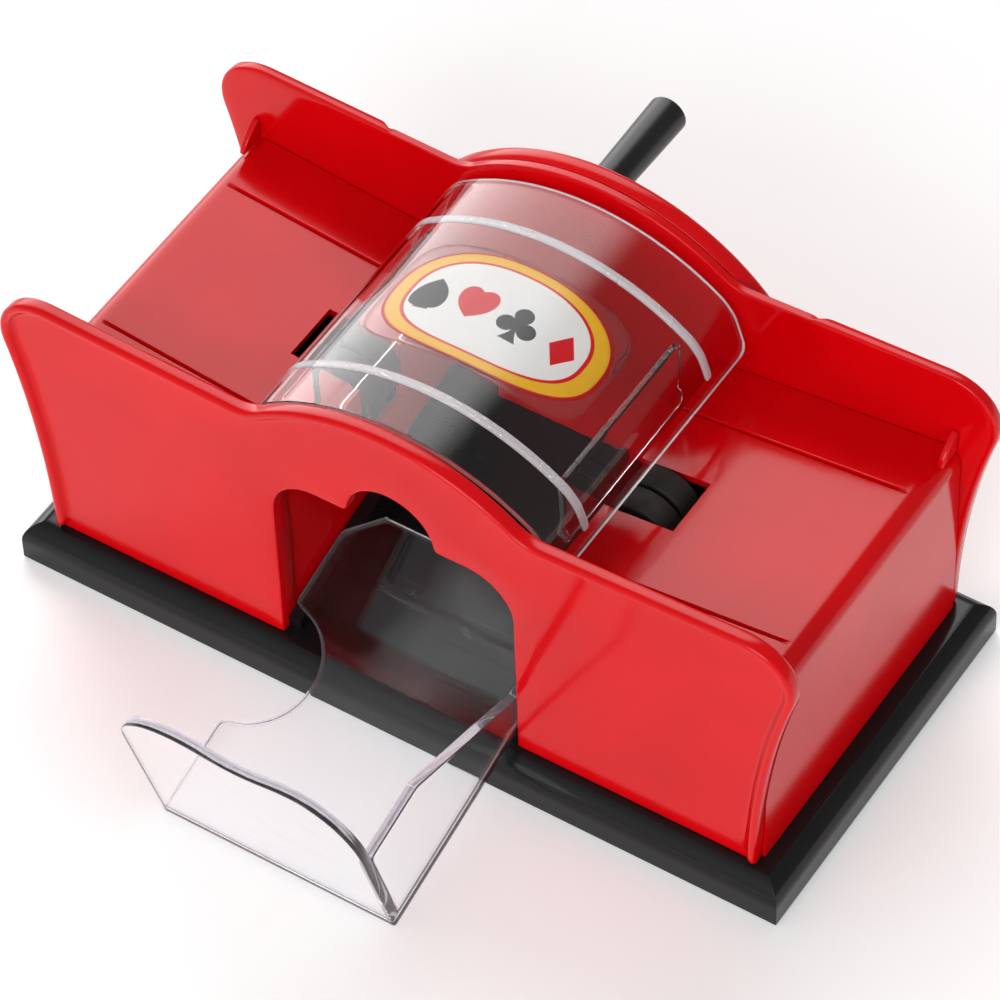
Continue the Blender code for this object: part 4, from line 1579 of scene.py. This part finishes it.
@dataclass
class Studio:
    """Camera, pale floor and soft light."""

    place: tuple[float, float, float] = (0.49918, -0.72644, 1.06091)
    aim: tuple[float, float, float] = (0.001682, -0.003204, 0.040)
    roll: float = 2.4174
    lens: float = 199.12
    sensor: float = 36.0
    floor_size: float = 6.0
    glow_from: tuple[float, float, float] = (-0.62, 0.62, 0.48)
    glow: float = 3.9
    dim: float = 0.31
    fill_from: tuple[float, float, float] = (0.1, -1.0, 0.25)
    fill: float = 0.45
    lamp_place: tuple[float, float, float] = (0.3, -1.9, 1.2)
    lamp_size: float = 1.1
    lamp_power: float = 20.0
    middle: tuple[float, float, float] = (0.0, 0.0, 0.04)

    def camera(self) -> None:
        """Aims the camera, then rolls it about its own axis."""
        data = bpy.data.cameras.new("camera")
        data.lens = self.lens
        data.sensor_width = self.sensor
        data.clip_start, data.clip_end = 0.05, 20.0
        camera = bpy.data.objects.new("camera", data)
        aim = (Vector(self.aim) - Vector(self.place)).to_track_quat("-Z", "Y")
        turn = aim @ Quaternion((0.0, 0.0, 1.0), math.radians(-self.roll))
        camera.location = self.place
        camera.rotation_euler = turn.to_euler()
        bpy.context.scene.collection.objects.link(camera)
        bpy.context.scene.camera = camera

    def floor(self) -> None:
        """A square floor at the height that the shuffler stands on."""
        signs = np.array([(-1, -1, 0), (1, -1, 0), (1, 1, 0), (-1, 1, 0)])
        points = signs * (self.floor_size / 2 / MM)
        floor = make_object("floor", points, [[0, 1, 2, 3]], recalculate=False)
        floor.data.materials.append(PaleFloor().material())

    def lamp(self) -> None:
        """A square soft light over the front, which faces the middle of the object."""
        data = bpy.data.lights.new("front", "AREA")
        data.shape = "SQUARE"
        data.size = self.lamp_size
        data.energy = self.lamp_power
        lamp = bpy.data.objects.new("front", data)
        lamp.location = self.lamp_place
        towards = Vector(self.middle) - Vector(self.lamp_place)
        lamp.rotation_euler = towards.to_track_quat("-Z", "Y").to_euler()
        bpy.context.scene.collection.objects.link(lamp)

    def surroundings(self) -> bpy.types.World:
        """A dim room with a large soft glow behind on the left and a weaker fill in front.

        The glow is a smooth step of the cosine between a direction and the glow's middle.

        Returns:
            The world.
        """
        world = bpy.data.worlds.new("studio")
        world.use_nodes = True
        graph = Graph(world.node_tree)
        ray = graph.node("ShaderNodeTexCoord", output="Generated")

        def lobe(towards: Sequence[float], low: float, high: float) -> Value:
            """1 round a direction and 0 away from it."""
            inputs = {0: ray, 1: tuple(Vector(towards).normalized())}
            dot = {"operation": "DOT_PRODUCT"}
            return graph.node("ShaderNodeVectorMath", dot, inputs, output=1).smooth(low, high)

        behind = (0.0, 1.0, 0.0)
        band = lobe(behind, 0.25, 0.42) * (1.0 - lobe(behind, 0.66, 0.85))
        glow = lobe(self.glow_from, 0.7, 0.88) * band * self.glow
        fill = lobe(self.fill_from, 0.1, 0.9) * self.fill
        strength = glow + fill + self.dim
        background = graph.tree.nodes["Background"]
        graph.tree.links.new(strength.socket, background.inputs["Strength"])
        background.inputs["Color"].default_value = (1.0, 1.0, 1.0, 1.0)
        return world

    def build(self) -> None:
        """Camera, floor, surroundings and a lamp over the front."""
        scene = bpy.context.scene
        scene.world = self.surroundings()
        scene.view_settings.view_transform = "Standard"
        self.camera()
        self.floor()
        self.lamp()
        LOG.info("studio ready")


def main() -> None:
    """Builds the studio and every sub-assembly in order."""
    logging.basicConfig(level=logging.INFO, format="%(message)s")
    Studio().build()
    finishes = Finishes()
    KeptNodes().build(finishes)
    Plinth().build(finishes)
    Walls().build(finishes)
    for side in Side:
        Deck(side).build(finishes)
    DriveCase().build(finishes)
    PanScrews().build(finishes)
    Rollers().build(finishes)
    Handle().build(finishes)
    Hood().build(finishes)
    Sled().build(finishes)


if __name__ == "__main__":
    main()
